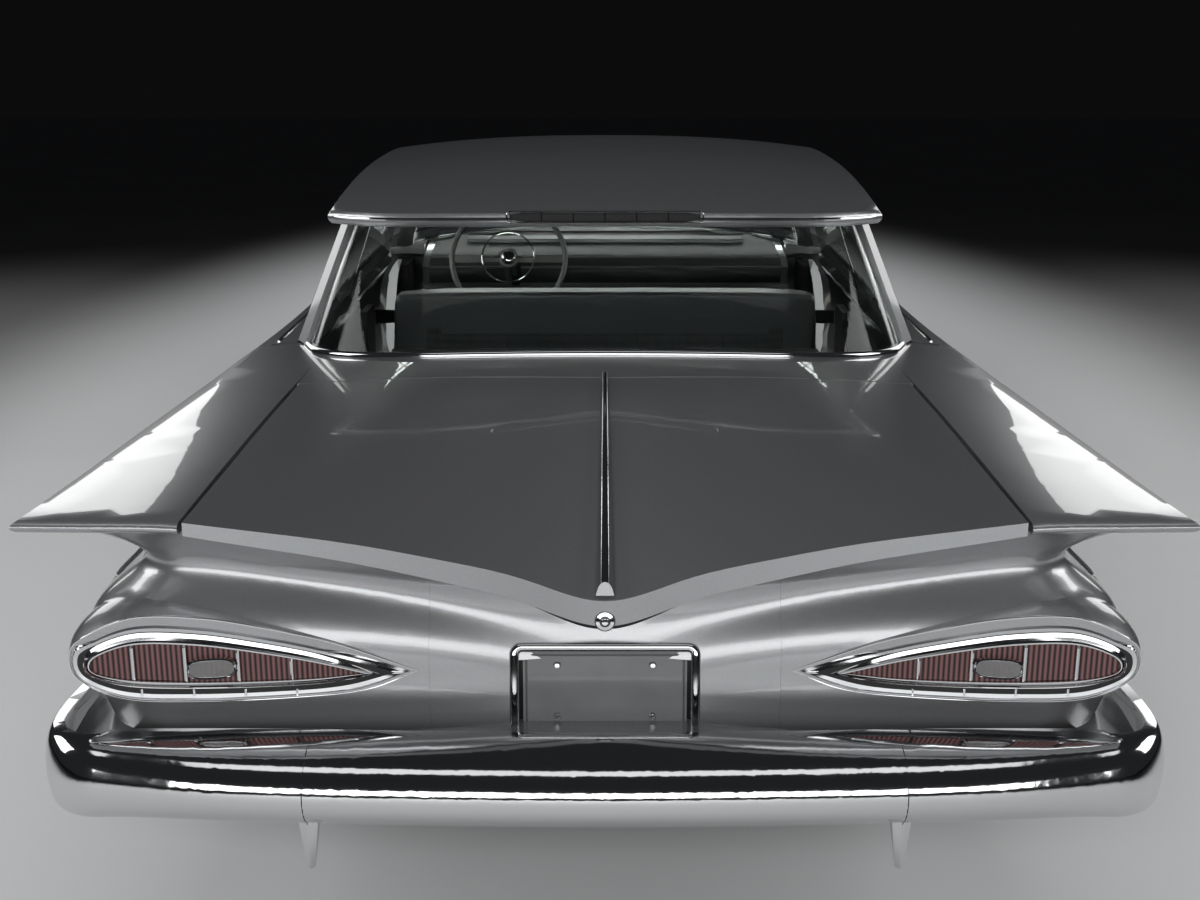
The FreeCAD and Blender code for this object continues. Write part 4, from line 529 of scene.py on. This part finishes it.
# The enamel has faded unevenly in patches of 80 mm; the border line pressed into it is darker.
plate_enamel, tree, shader, place = finish_of("enamelled_aluminium_blank", {
    "Base Color": linear("#5a5b5c"), "Roughness": 0.3, "Coat Weight": 0.6, "Coat Roughness": 0.1})
faded = node(tree, "ShaderNodeTexNoise", {"Vector": place, "Scale": per_mm(80), "Detail": 3.0})
node(tree, "ShaderNodeMix", {"Factor": faded.outputs["Fac"], "A": linear("#525354"), "B": linear("#646566")},
     feeds=shader.inputs["Base Color"], data_type="RGBA")
border_line, tree, shader, place = finish_of("enamelled_border_line", {
    "Base Color": linear("#3a3b3c"), "Roughness": 0.35})
PLATE_LOW, PLATE_HIGH = Vector((-0.1525, -2.397, 0.470)), Vector((0.1525, -2.395, 0.624))
# How far the tail panel, and the plate on it, stands further back for each metre down.
PANEL_LEAN = 0.085
bm = bmesh.new()
bmesh.ops.create_cube(bm, size=1, matrix=Matrix.Translation((PLATE_LOW + PLATE_HIGH) / 2)
                      @ Matrix.Diagonal((*(PLATE_HIGH - PLATE_LOW), 1)))
corners = [e for e in bm.edges if abs(e.verts[0].co.y - e.verts[1].co.y) > 0.001]
bmesh.ops.bevel(bm, geom=corners, offset=0.009, offset_type="OFFSET", segments=5, profile=0.5,
                affect="EDGES", material=-1)
front = min(bm.faces, key=lambda f: f.calc_center_median().y)
for thick, lift, index in ((0.0035, 0.0, 0), (0.0015, -0.0014, 0), (0.0025, 0.0, 1), (0.0015, 0.0014, 0)):
    rim_faces = bmesh.ops.inset_region(bm, faces=[front], thickness=thick, use_even_offset=True)["faces"]
    bmesh.ops.translate(bm, verts=front.verts, vec=(0, lift, 0))
    for face in rim_faces:
        face.material_index = index
for v in bm.verts:
    v.co.y -= (PLATE_HIGH.z - v.co.z) * PANEL_LEAN
placed("number_plate", bm, [plate_enamel, border_line], "root")

tail_skin = skin_of("tail_panel", "quarter_left", "quarter_right", "trunk_lid")
BESIDE_RECESS = 0.187
bm = bmesh.new()
around = [Vector((x, land(tail_skin, (BESIDE_RECESS, -3, z), Y).y, z))
          for x, z in round_cornered(0.154, 0.464, 0.620, 0.014, 15)]
moulding(bm, around, 0.017, 0.011, BEHIND, closed=True, sides=12)
placed("number_plate_surround", bm, [chrome], "root")
# The dish's black is painted shade in the recess.
bm = bmesh.new()
dish = [[Vector((x, -2.386 - (0.62 - z) * PANEL_LEAN, z)) for x in (-0.1755, -0.1, 0.1, 0.1755)]
        for z in (0.612, 0.56, 0.50, 0.445)]
loops_joined(bm, dish, closed=False)
bmesh.ops.solidify(bm, geom=bm.faces[:], thickness=0.0012)
placed("number_plate_painted_shade_dish", bm, [black_enamel_and_painted_shade], "root")
bm = bmesh.new()
for x in (-0.0889, 0.0889):
    for z in (0.598, 0.498):
        spot = Matrix.Translation((x, -2.399 - (0.624 - z) * PANEL_LEAN, z))
        bmesh.ops.create_cone(bm, cap_ends=True, segments=24, radius1=0.0075, radius2=0.0045, depth=0.005,
                              matrix=spot @ Matrix.Rotation(math.radians(90), 4, "X"))
placed("number_plate_bolts", bm, [chrome], "root")


# Boot lock: a plated swing cover on a domed escutcheon, turned and riveted, over the number plate.
# It is spun from one profile about the lock barrel, which leans back with the lid.
def turned(bm, profile, centre, axis, steps=48):
    """Spins (radius, along) points about an axis through centre."""
    side = axis.orthogonal().normalized()
    verts = [bm.verts.new(centre + side * r + axis * d) for r, d in profile]
    edges = [bm.edges.new(pair) for pair in zip(verts, verts[1:])]
    bmesh.ops.spin(bm, geom=verts + edges, cent=centre, axis=axis, angle=math.tau, steps=steps,
                   use_merge=True)
    bmesh.ops.remove_doubles(bm, verts=bm.verts, dist=0.00001)


LOCK_PROFILE = [(0, 0.012), (0.006, 0.0115), (0.009, 0.009), (0.0105, 0.006), (0.017, 0.005),
                (0.0195, 0.002), (0.0195, -0.004)]
bm = bmesh.new()
turned(bm, LOCK_PROFILE, land(tail_skin, (0, -2.9, 0.672), Y), Vector((0, -1, 0.15)).normalized())
placed("boot_lock", bm, [chrome], "root")


# Splash pan: a painted steel strip that closes the space between the bumper's upper lip and the tail.
# It is screwed to the body and runs round both corners under the lip.
bumper_skin = skin_of("rear_bumper")
lower_skin = skin_of("quarter_left", "quarter_right", "tail_panel")
CORNER_X, CORNER_RADIUS = 0.8725, 0.140
BAR_FACE_Z, PAN_Z = 0.466, 0.488
UNDER_LIP, PAN_EDGE, WIDEST_GAP = 0.070, 0.006, 0.4
PAN_PLACES = 30
lip_row = []
for k in range(-PAN_PLACES, PAN_PLACES + 1):
    x = k * CORNER_X / PAN_PLACES
    face_y = land(bumper_skin, (x, -3, BAR_FACE_Z), Y).y
    lip_row.append((Vector((x, face_y + UNDER_LIP, PAN_Z)), Y))
for side, hand in SIDES:
    arc = []
    for turn in range(10, 91, 10):
        out = Vector((side * math.sin(math.radians(turn)), -math.cos(math.radians(turn)), 0))
        corner = Vector((side * CORNER_X, face_y + CORNER_RADIUS, PAN_Z))
        arc.append((corner + out * (CORNER_RADIUS - 0.040), -out))
    for y in (-2.36, -2.30, -2.25):
        arc.append((Vector((side * (CORNER_X + CORNER_RADIUS - 0.030), y, PAN_Z)), -X * side))
    lip_row = lip_row + arc if side > 0 else arc[::-1] + lip_row
near, far = [], []
for spot, way in lip_row:
    hit = land(lower_skin, spot - way * 0.001, way)
    if hit and (hit - spot).length < WIDEST_GAP:
        near.append(spot)
        far.append(hit + way * PAN_EDGE)
bm = bmesh.new()
loops_joined(bm, [near, far], closed=False)
bmesh.ops.solidify(bm, geom=bm.faces[:], thickness=0.0015)
placed("splash_pan", bm, [lacquer], "root")


# Bumper seams: the bar is three pressings, lapped and bolted to the irons behind the joints.
# Each joint shows as a thin dark line from the upper lip to the turned lower edge.
SEAM_HEIGHTS = (0.394, 0.402, 0.412, 0.425, 0.44, 0.455, 0.47, 0.485, 0.5, 0.512, 0.522, 0.528)
bm = bmesh.new()
for x in (-0.52, 0.52):
    line = [land(bumper_skin, (x, -3, z), Y, 0.0002) for z in SEAM_HEIGHTS]
    moulding(bm, [p for p in line if p], 0.0022, 0.0012, BEHIND, sides=6)
placed("bumper_seams", bm, [black_enamel_and_painted_shade], "root")


# Glass surrounds: stainless mouldings clipped over the rubber channel along the foot of both glasses.
# They are rolled from strip with a rounded face, and end at the pillars.
def both_ways(points):
    """Half a line across the car, in shares of its half width and length, mirrored and in metres."""
    right = [(x * HALF_WIDE, y * LENGTH, 0) for x, y in points]
    return [(-x, y, z) for x, y, z in reversed(right[1:])] + right


REAR_FOOT = [(0, -0.2430), (0.38, -0.2402), (0.61, -0.2298), (0.725, -0.2118), (0.785, -0.1860)]
SHIELD_FOOT = [(0, 0.2575), (0.32, 0.2545), (0.55, 0.2430), (0.70, 0.2220), (0.775, 0.1940)]
BELT_Z = 0.94
top_skin = skin_of("deck_panel", "quarter_left", "quarter_right", "cowl", "fender_left", "fender_right",
                   "door_front_left", "door_front_right", "door_rear_left", "door_rear_right", "hood",
                   "trunk_lid")
for name, foot, way in (("rear_glass_surround", REAR_FOOT, -1), ("windshield_surround", SHIELD_FOOT, 1)):
    flat = smooth_line(both_ways(foot), 72)
    line = []
    for i, p in enumerate(flat):
        run = (flat[min(i + 1, len(flat) - 1)] - flat[max(i - 1, 0)]).normalized()
        spot = p + Vector((run.y, -run.x, 0)) * -way * 0.011
        hit = land(top_skin, (spot.x, spot.y, 1.3), DOWN, 0.002)
        if hit and abs(hit.z - BELT_Z) < 0.06:
            line.append(hit)
    bm = bmesh.new()
    moulding(bm, line, 0.019, 0.024, UP, sides=12)
    placed(name, bm, [chrome], "root")


# Roof edge: a thin bright drip moulding all round the roof's rim.
# It is a rolled strip pressed over the flange where the roof skin meets its lower panel.
ROOF_REAR = [(0, -0.2262), (0.30, -0.2240), (0.52, -0.2140), (0.64, -0.2030), (0.705, -0.1930)]
ROOF_FRONT = [(0, 0.1560), (0.30, 0.1545), (0.52, 0.1460), (0.64, 0.1330), (0.705, 0.1130)]
roof_skin = skin_of("roof")
rim_flat = smooth_line(both_ways(ROOF_REAR), 60) + smooth_line(list(reversed(both_ways(ROOF_FRONT))), 60)
rim_line = []
for i, p in enumerate(rim_flat):
    run = (rim_flat[(i + 1) % len(rim_flat)] - rim_flat[i - 1]).normalized()
    out = Vector((run.y, -run.x, 0))
    inside = p - out * 0.012
    hit = land(roof_skin, (inside.x, inside.y, 1.6), DOWN)
    if hit:
        rim_line.append(Vector((p.x, p.y, hit.z - 0.017)) + out * 0.0075)
bm = bmesh.new()
moulding(bm, rim_line, 0.007, 0.009, UP, closed=True)
placed("roof_drip_moulding", bm, [chrome], "root")


# Roof vent: a die-cast grille let into the rear edge of the roof, with seven posts between its bars.
# Air from the cabin leaves through it; behind the posts a strip of dark undercoat paints the shade in its
# opening.
VENT_Y = -1.2215
VENT_HALF_WIDE, VENT_CORNER = 0.236, 0.009
POSTS, POST_PITCH = 7, 0.079
vent_z = land(roof_skin, (0, -1.195, 1.6), DOWN).z - 0.012
bm = bmesh.new()
around = [Vector((x, VENT_Y - 0.004, z))
          for x, z in round_cornered(VENT_HALF_WIDE, vent_z - 0.006, vent_z + 0.004, VENT_CORNER, 30)]
moulding(bm, around, 0.0045, 0.008, BEHIND, closed=True)
for k in range(POSTS):
    x = (k - POSTS // 2) * POST_PITCH
    moulding(bm, [Vector((x, VENT_Y - 0.004, vent_z - 0.014)), Vector((x, VENT_Y - 0.004, vent_z + 0.012))],
             0.005, 0.008, BEHIND)
placed("roof_vent_grille", bm, [chrome], "root")
# A dark strip behind the posts: painted shade.
bm = bmesh.new()
moulding(bm, [Vector((x, VENT_Y + 0.001, vent_z - 0.001)) for x in (-0.238, -0.2, 0.2, 0.238)],
         0.024, 0.010, BEHIND)
placed("roof_vent_painted_shade", bm, [undercoat], "root")


# Belt mouldings: a bright strip along the top of each door, under its glass.
# It is snapped over the top flange of the door and stops short of the gaps.
BELT_PLACES, BELT_INSET, BELT_X = 24, 0.012, 0.905
for door in ("door_front_right", "door_front_left", "door_rear_right", "door_rear_left"):
    side = 1 if door.endswith("right") else -1
    low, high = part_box(door)
    panel = skin_of(door)
    line = []
    for k in range(BELT_PLACES + 1):
        y = low.y + BELT_INSET + (high.y - low.y - 2 * BELT_INSET) * k / BELT_PLACES
        hit = land(panel, (side * BELT_X, y, 1.3), DOWN, 0.001)
        if hit and hit.z > 0.8:
            line.append(hit)
    bm = bmesh.new()
    moulding(bm, line, 0.013, 0.008, UP)
    placed("belt_moulding_" + door, bm, [chrome], door)


# Side spear: a long bright moulding with a painted dart inside it, from the front wing to the tail.
# Each panel carries its own length, so that the doors can open.
dart_paint, tree, shader, place = finish_of("dart_enamel", {
    "Base Color": linear("#c9c9c6"), "Roughness": 0.25, "Coat Weight": 0.7, "Coat Roughness": 0.05})
speck = node(tree, "ShaderNodeTexNoise", {"Vector": place, "Scale": per_mm(12), "Detail": 2.0})
node(tree, "ShaderNodeBump", {"Height": speck.outputs["Fac"], "Strength": 0.04, "Distance": 0.0003},
     feeds=shader.inputs["Normal"])
# Along the car, the spear's middle height and half width.
SPEAR_RUN = [(2.30, 0.748, 0.003), (1.2, 0.752, 0.012), (0.2, 0.754, 0.018), (-0.9, 0.754, 0.023),
             (-1.4, 0.752, 0.026), (-1.9, 0.730, 0.032), (-2.28, 0.706, 0.026)]
SPEAR_PLACES, SPEAR_END, DOOR_GAP = 60, 2.28, 0.008
# A place further in than this lies in a wheel opening, and one where the flank turns this far is on its edge.
FLANK_X, FLANK_TURN = 0.85, 0.09


def spear_at(y):
    """Height and half width of the spear at y."""
    for (y0, z0, w0), (y1, z1, w1) in zip(SPEAR_RUN, SPEAR_RUN[1:]):
        if y1 <= y <= y0:
            t = (y0 - y) / (y0 - y1)
            return z0 + (z1 - z0) * t, w0 + (w1 - w0) * t
    return None


for panel_name, opens in (("fender", False), ("door_front", True), ("door_rear", True), ("quarter", False)):
    for side, hand in SIDES:
        name = "%s_%s" % (panel_name, hand)
        body = name if opens else "root"
        low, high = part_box(name)
        panel = skin_of(name)
        first, last = max(low.y + DOOR_GAP, -SPEAR_END), min(high.y - DOOR_GAP, SPEAR_END)
        # The longest unbroken stretch that lies on the flank, clear of the wheel openings.
        stretch, longest = [], []
        for k in range(SPEAR_PLACES + 1):
            y = first + (last - first) * k / SPEAR_PLACES
            z, half = spear_at(y)
            hits = [land(panel, (side * 1.3, y, z + half * s), -X * side, 0.002) for s in (-1, 0, 1)]
            on_flank = all(hits) and min(abs(h.x) for h in hits) > FLANK_X
            if on_flank and abs(hits[0].x - hits[2].x) < FLANK_TURN:
                stretch.append(hits)
            else:
                stretch = []
            if len(stretch) > len(longest):
                longest = list(stretch)
        rows = list(zip(*longest))
        bm = bmesh.new()
        moulding(bm, rows[0], 0.010, 0.007, X * side)
        moulding(bm, rows[2], 0.010, 0.007, X * side)
        placed("side_spear_" + name, bm, [chrome], body)
        bm = bmesh.new()
        loops_joined(bm, rows, closed=False)
        placed("side_dart_" + name, bm, [dart_paint], body)


# Door handles: a die-cast bar on two posts with a push button at its forward end, chromium plated.
# The bar is cast hollow at the back so that fingers fit behind it.
HANDLE_Z = 0.812
BUTTON_PROFILE = [(0, 0.020), (0.008, 0.0195), (0.0095, 0.017), (0.0095, 0.008), (0.014, 0.006),
                  (0.016, 0.001), (0.016, -0.006)]
for door, back_y in (("door_front", 0.10), ("door_rear", -0.62)):
    for side, hand in SIDES:
        name = "%s_%s" % (door, hand)
        panel = skin_of(name)
        out = X * side
        back, middle, fore, button = [land(panel, (side * 1.3, back_y + dy, HANDLE_Z), -out)
                                      for dy in (0.0, 0.07, 0.14, 0.172)]
        bar = [back + out * 0.004, back + out * 0.019 + Y * 0.008, middle + out * 0.023,
               fore + out * 0.019 - Y * 0.008, fore + out * 0.004]
        bm = bmesh.new()
        moulding(bm, smooth_line(bar, 20), 0.016, 0.010, out, sides=10)
        turned(bm, BUTTON_PROFILE, button, out, 32)
        placed("handle_" + name, bm, [chrome], name)


# Headlamps: four sealed beams with pressed glass lenses, held by plated retaining rings.
# The glass is fluted 9 mm across and 22 mm down over a bright reflector, so it looks half metal.
lens_glass, tree, shader, place = finish_of("fluted_lamp_glass", {
    "Base Color": linear("#cfd3d5"), "Roughness": 0.08, "Metallic": 0.5, "Coat Weight": 1.0,
    "Coat Roughness": 0.02})
across = node(tree, "ShaderNodeTexWave", {"Vector": place, "Scale": band_each(9)}, bands_direction="X")
down = node(tree, "ShaderNodeTexWave", {"Vector": place, "Scale": band_each(22)}, bands_direction="Z")
grid = node(tree, "ShaderNodeMath", {0: across.outputs["Fac"], 1: down.outputs["Fac"]}, operation="ADD")
node(tree, "ShaderNodeBump", {"Height": grid.outputs["Value"], "Strength": 0.8, "Distance": 0.0015},
     feeds=shader.inputs["Normal"])
dress(["headlamps"], lens_glass)
RING_PROFILE = [(0.0725, -0.006), (0.0725, 0.001), (0.075, 0.006), (0.080, 0.008), (0.0855, 0.005),
                (0.0875, -0.001), (0.0875, -0.022), (0.0845, -0.022)]
for number, x in enumerate((-0.716, -0.543, 0.543, 0.716)):
    bm = bmesh.new()
    turned(bm, RING_PROFILE, Vector((x, 2.5535, 0.6048)), Y, 64)
    placed("headlamp_ring_%d" % number, bm, [chrome], "root")


# Tyres: five-rib bias-ply rubber with a whitewall band on the outer side.
# The tread is moulded 4.6 mm deep in blocks. The rubber has a grey bloom in patches of 45 mm, and the white
# band is scuffed yellowish.
rubber, tree, shader, place = finish_of("tyre_rubber", {"Base Color": linear("#1d1d1e"), "Roughness": 0.78})
bloom = node(tree, "ShaderNodeTexNoise", {"Vector": place, "Scale": per_mm(45), "Detail": 5.0})
node(tree, "ShaderNodeMix", {"Factor": bloom.outputs["Fac"], "A": linear("#19191a"), "B": linear("#2b2a29")},
     feeds=shader.inputs["Base Color"], data_type="RGBA")
node(tree, "ShaderNodeBump", {"Height": bloom.outputs["Fac"], "Strength": 0.12, "Distance": 0.0006},
     feeds=shader.inputs["Normal"])
whitewall, tree, shader, place = finish_of("white_rubber", {
    "Base Color": linear("#dedcd5"), "Roughness": 0.6})
scuff = node(tree, "ShaderNodeTexNoise", {"Vector": place, "Scale": per_mm(25), "Detail": 5.0})
node(tree, "ShaderNodeMix", {"Factor": scuff.outputs["Fac"], "A": linear("#e4e2dc"), "B": linear("#cfccc3")},
     feeds=shader.inputs["Base Color"], data_type="RGBA")
# Sections in mm: how far out from the wheel's middle plane, and the radius.
TYRE_SIDE = [(50, 181), (63, 181), (66, 197), (80, 201), (92, 212), (98, 224), (100.5, 234), (102, 258),
             (100, 280), (95, 303), (86, 325), (77, 337), (66, 342.5), (56, 344.2)]
TREAD = [(54, 344.4), (33, 344.8), (31, 344.8), (11.5, 345), (9.5, 345)]
CAVITY = [(-50, 190), (-70, 214), (-84, 258), (-62, 322), (62, 322), (84, 258), (70, 214), (50, 190)]
outside = TYRE_SIDE + TREAD
section = outside + [(-x, r) for x, r in reversed(outside)] + CAVITY
wheels = []
for axle, hub_x, axle_y in (("front", 0.766, 1.8025), ("rear", 0.753, -1.2205)):
    for side, hand in SIDES:
        wheels.append(("%s_%s" % (axle, hand), side, Vector((side * hub_x, axle_y, 0.35))))
for corner, side, centre in wheels:
    bm = bmesh.new()
    loop = [bm.verts.new(centre + Vector((side * x, 0, r)) / 1000) for x, r in section]
    edges = [bm.edges.new(pair) for pair in zip(loop, loop[1:] + loop[:1])]
    bmesh.ops.spin(bm, geom=loop + edges, cent=centre, axis=X, angle=math.tau, steps=96, use_merge=True)
    bmesh.ops.recalc_face_normals(bm, faces=bm.faces)
    blocks = []
    for face in bm.faces:
        mid = face.calc_center_median() - centre
        reach = math.hypot(mid.y, mid.z)
        if reach > 0.3435 and abs(mid.x) < 0.054 and face.calc_area() > 0.0002:
            blocks.append(face)
        if 0.223 < reach < 0.260 and side * mid.x > 0.09:
            face.material_index = 1
    bmesh.ops.inset_individual(bm, faces=blocks, thickness=0.0022, depth=0.0046, use_even_offset=True)
    piece = placed("tyre_" + corner, bm, [rubber, whitewall], "wheel_" + corner, clean=False)
    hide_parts("tyre_" + corner)


# Wheel covers: full-width stainless steel pressings, sprung into the rim, with a ring of cooling slots.
# The dish is polished, its slots are painted near-black as painted shade, and its centre is a plain domed
# cap.
slot_painted_shade, tree, shader, place = finish_of("slot_painted_shade_black", {
    "Base Color": linear("#2a2b2c"), "Roughness": 0.4})
# In mm: the radius, and how far out from the wheel's middle plane.
COVER_PROFILE = [(0, 82), (14, 81), (30, 77), (40, 70), (43, 62), (52, 58), (84, 54), (90, 57), (96, 60),
                 (101, 57), (106, 52), (142, 56), (146, 61), (154, 66), (166, 68), (176, 66), (180, 60),
                 (177, 56), (160, 54)]
for corner, side, centre in wheels:
    bm = bmesh.new()
    turned(bm, [(r / 1000, d / 1000) for r, d in COVER_PROFILE], centre, X * side, 96)
    slots = []
    for face in bm.faces:
        mid = face.calc_center_median() - centre
        if 0.107 < math.hypot(mid.y, mid.z) < 0.141:
            slots.append(face)
    bmesh.ops.inset_individual(bm, faces=slots, thickness=0.0016, depth=-0.0035, use_even_offset=True)
    # The slots' near-black is painted shade.
    for face in slots:
        face.material_index = 1
    placed("wheel_cover_" + corner, bm, [chrome, slot_painted_shade], "wheel_" + corner, sharp=25)


# Bench seats: spring cushions under pleated cloth with vinyl bolsters.
# Front and rear are full-width benches; each cushion and backrest is sewn as one cover.
cloth, tree, shader, place = finish_of("woven_seat_cloth", {
    "Base Color": linear("#46484a"), "Roughness": 0.9, "Sheen Weight": 0.2, "Sheen Roughness": 0.5})
# Threads 4.2 mm apart, drawn coarser than real ones so that they show, and pleats sewn 55 mm apart.
weft = node(tree, "ShaderNodeTexWave", {"Vector": place, "Scale": band_each(4.2)}, bands_direction="Y")
warp = node(tree, "ShaderNodeTexWave", {"Vector": place, "Scale": band_each(4.2)}, bands_direction="X")
weave = node(tree, "ShaderNodeMath", {0: weft.outputs["Fac"], 1: warp.outputs["Fac"]}, operation="MULTIPLY")
pleats = node(tree, "ShaderNodeTexWave", {"Vector": place, "Scale": band_each(55)}, bands_direction="X")
puffed = node(tree, "ShaderNodeMath", {0: pleats.outputs["Fac"], 1: 0.35}, operation="POWER")
node(tree, "ShaderNodeBump", {"Height": puffed.outputs["Value"], "Strength": 0.9, "Distance": 0.006},
     feeds=shader.inputs["Normal"])
node(tree, "ShaderNodeMix", {
    "Factor": weave.outputs["Value"], "A": linear("#27292b"), "B": linear("#424547")},
     feeds=shader.inputs["Base Color"], data_type="RGBA")
# Embossed vinyl, with a leather grain of 4 mm that breaks its highlights.
vinyl, tree, shader, place = finish_of("grained_vinyl", {"Base Color": linear("#3f4144"), "Roughness": 0.36})
hide = node(tree, "ShaderNodeTexVoronoi", {"Vector": place, "Scale": per_mm(4)})
node(tree, "ShaderNodeBump", {"Height": hide.outputs["Distance"], "Strength": 0.25, "Distance": 0.0004},
     feeds=shader.inputs["Normal"])
BOLSTER, BACK_TOP, CUSHION_FACE = 0.11, 0.13, 0.06


def sewn_pad(name, low, high, shear, crown, stands_for):
    """A crowned pad between two corners. shear is how far its top leans back; its ends and top are vinyl."""
    bm = bmesh.new()
    bmesh.ops.create_cube(bm, size=2)
    bmesh.ops.subdivide_edges(bm, edges=bm.edges[:], cuts=27, use_grid_fill=True)
    middle, half = (low + high) / 2, (high - low) / 2
    upright = high.z - low.z > high.y - low.y
    for v in bm.verts:
        u = v.co.copy()
        # The sides pull in towards the corners, less on a long side than on a short one.
        pull = [1 - 0.045 * sum(abs(u[b]) ** 6 for b in range(3) if b != a) * min(1.0, 0.25 / half[a])
                for a in range(3)]
        v.co = Vector([middle[a] + half[a] * u[a] * pull[a] for a in range(3)])
        swell = crown * (1 - u.x ** 8)
        if upright:
            v.co.y += (swell * (1 - u.z ** 2) if u.y > 0.99 else 0) - shear * (u.z + 1) / 2
        else:
            v.co.z += swell * (1 - u.y ** 2) * (1 if u.z > 0.99 else 0)
    for face in bm.faces:
        mid = face.calc_center_median()
        at_end = abs(mid.x - middle.x) > half.x - BOLSTER
        on_top = upright and mid.z > high.z - BACK_TOP
        low_side = not upright and mid.z < high.z - CUSHION_FACE
        if at_end or on_top or low_side:
            face.material_index = 1
    piece = placed(name, bm, [cloth, vinyl], "root", sharp=50)
    soften = piece.modifiers.new("soften", "SUBSURF")
    soften.levels = soften.render_levels = 1
    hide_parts(stands_for)


sewn_pad("front_bench_cushion", Vector((-0.70, -0.02, 0.262)), Vector((0.70, 0.462, 0.405)), 0.0, 0.022,
         "front_seat")
sewn_pad("front_bench_back", Vector((-0.70, -0.030, 0.30)), Vector((0.70, 0.105, 0.920)), 0.085, 0.014,
         "front_seat")
sewn_pad("rear_bench_cushion", Vector((-0.57, -0.93, 0.352)), Vector((0.57, -0.437, 0.500)), 0.0, 0.020,
         "rear_seat")
sewn_pad("rear_bench_back", Vector((-0.57, -0.935, 0.40)), Vector((0.57, -0.80, 0.895)), 0.075, 0.012,
         "rear_seat")


# Steering wheel: hard rubber moulded over a steel core, with a plated horn ring on the hub.
# The rim is glossy from hands and has a faint swirl from the moulding; the ring is die-cast.
wheel_rubber, tree, shader, place = finish_of("moulded_hard_rubber", {
    "Base Color": linear("#8d8e8c"), "Roughness": 0.28, "Coat Weight": 0.5, "Coat Roughness": 0.1})
swirl = node(tree, "ShaderNodeTexNoise", {
    "Vector": place, "Scale": per_mm(60), "Detail": 3.0, "Distortion": 1.0})
node(tree, "ShaderNodeMix", {"Factor": swirl.outputs["Fac"], "A": linear("#848583"), "B": linear("#9a9b98")},
     feeds=shader.inputs["Base Color"], data_type="RGBA")
dress(["steering_wheel"], wheel_rubber, 40)
COLUMN = Vector((0, -0.88295, 0.46947))
HUB = Vector((-0.36522, 0.68783, 0.917))
HORN_RADIUS = 0.098
up_the_wheel = COLUMN.cross(X).normalized()
bm = bmesh.new()
ring = []
for k in range(60):
    turn = math.tau * k / 60
    ring.append(HUB + COLUMN * 0.022 + (X * math.cos(turn) + up_the_wheel * math.sin(turn)) * HORN_RADIUS)
moulding(bm, ring, 0.007, 0.007, COLUMN, closed=True)
turned(bm, [(0, 0.032), (0.014, 0.031), (0.024, 0.027), (0.030, 0.018), (0.031, 0.008)], HUB, COLUMN, 40)
for way in (X, -X):
    spoke = [HUB + COLUMN * 0.020 + way * 0.028, HUB + COLUMN * 0.022 + way * HORN_RADIUS]
    moulding(bm, spoke, 0.010, 0.005, COLUMN)
placed("horn_ring", bm, [chrome], "steering_wheel")


# Dash top: a padded roll of dark vinyl glued over the pressed panel behind the windshield.
# It follows the steel from the lower lip to the foot of the glass, and its grain of 4 mm is dull, so that it
# isn't mirrored in the glass.
dash_vinyl, tree, shader, place = finish_of("dull_dash_vinyl", {
    "Base Color": linear("#1f2022"), "Roughness": 0.55})
hide = node(tree, "ShaderNodeTexVoronoi", {"Vector": place, "Scale": per_mm(4)})
node(tree, "ShaderNodeBump", {"Height": hide.outputs["Distance"], "Strength": 0.3, "Distance": 0.0004},
     feeds=shader.inputs["Normal"])
cowl_skin = skin_of("cowl")
DASH_LOW, ROW_RISE, ROWS = 0.72, 0.022, 22
DASH_STEP, STEPS_A_SIDE = 0.03, 23
PAD_THICK = 0.004
rows = []
for k in range(ROWS):
    z = DASH_LOW + ROW_RISE * k
    row = [land(cowl_skin, (DASH_STEP * i, 0.25, z), (0, 1, -0.22), PAD_THICK)
           for i in range(-STEPS_A_SIDE, STEPS_A_SIDE + 1)]
    # A ray that passes over the panel lands much further ahead, or nowhere, and its row is left out.
    if all(row) and max(p.y for p in row) - min(p.y for p in row) < 0.5:
        rows.append(row)
bm = bmesh.new()
loops_joined(bm, rows, closed=False)
placed("dash_top_pad", bm, [dash_vinyl], "root")

low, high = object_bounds()
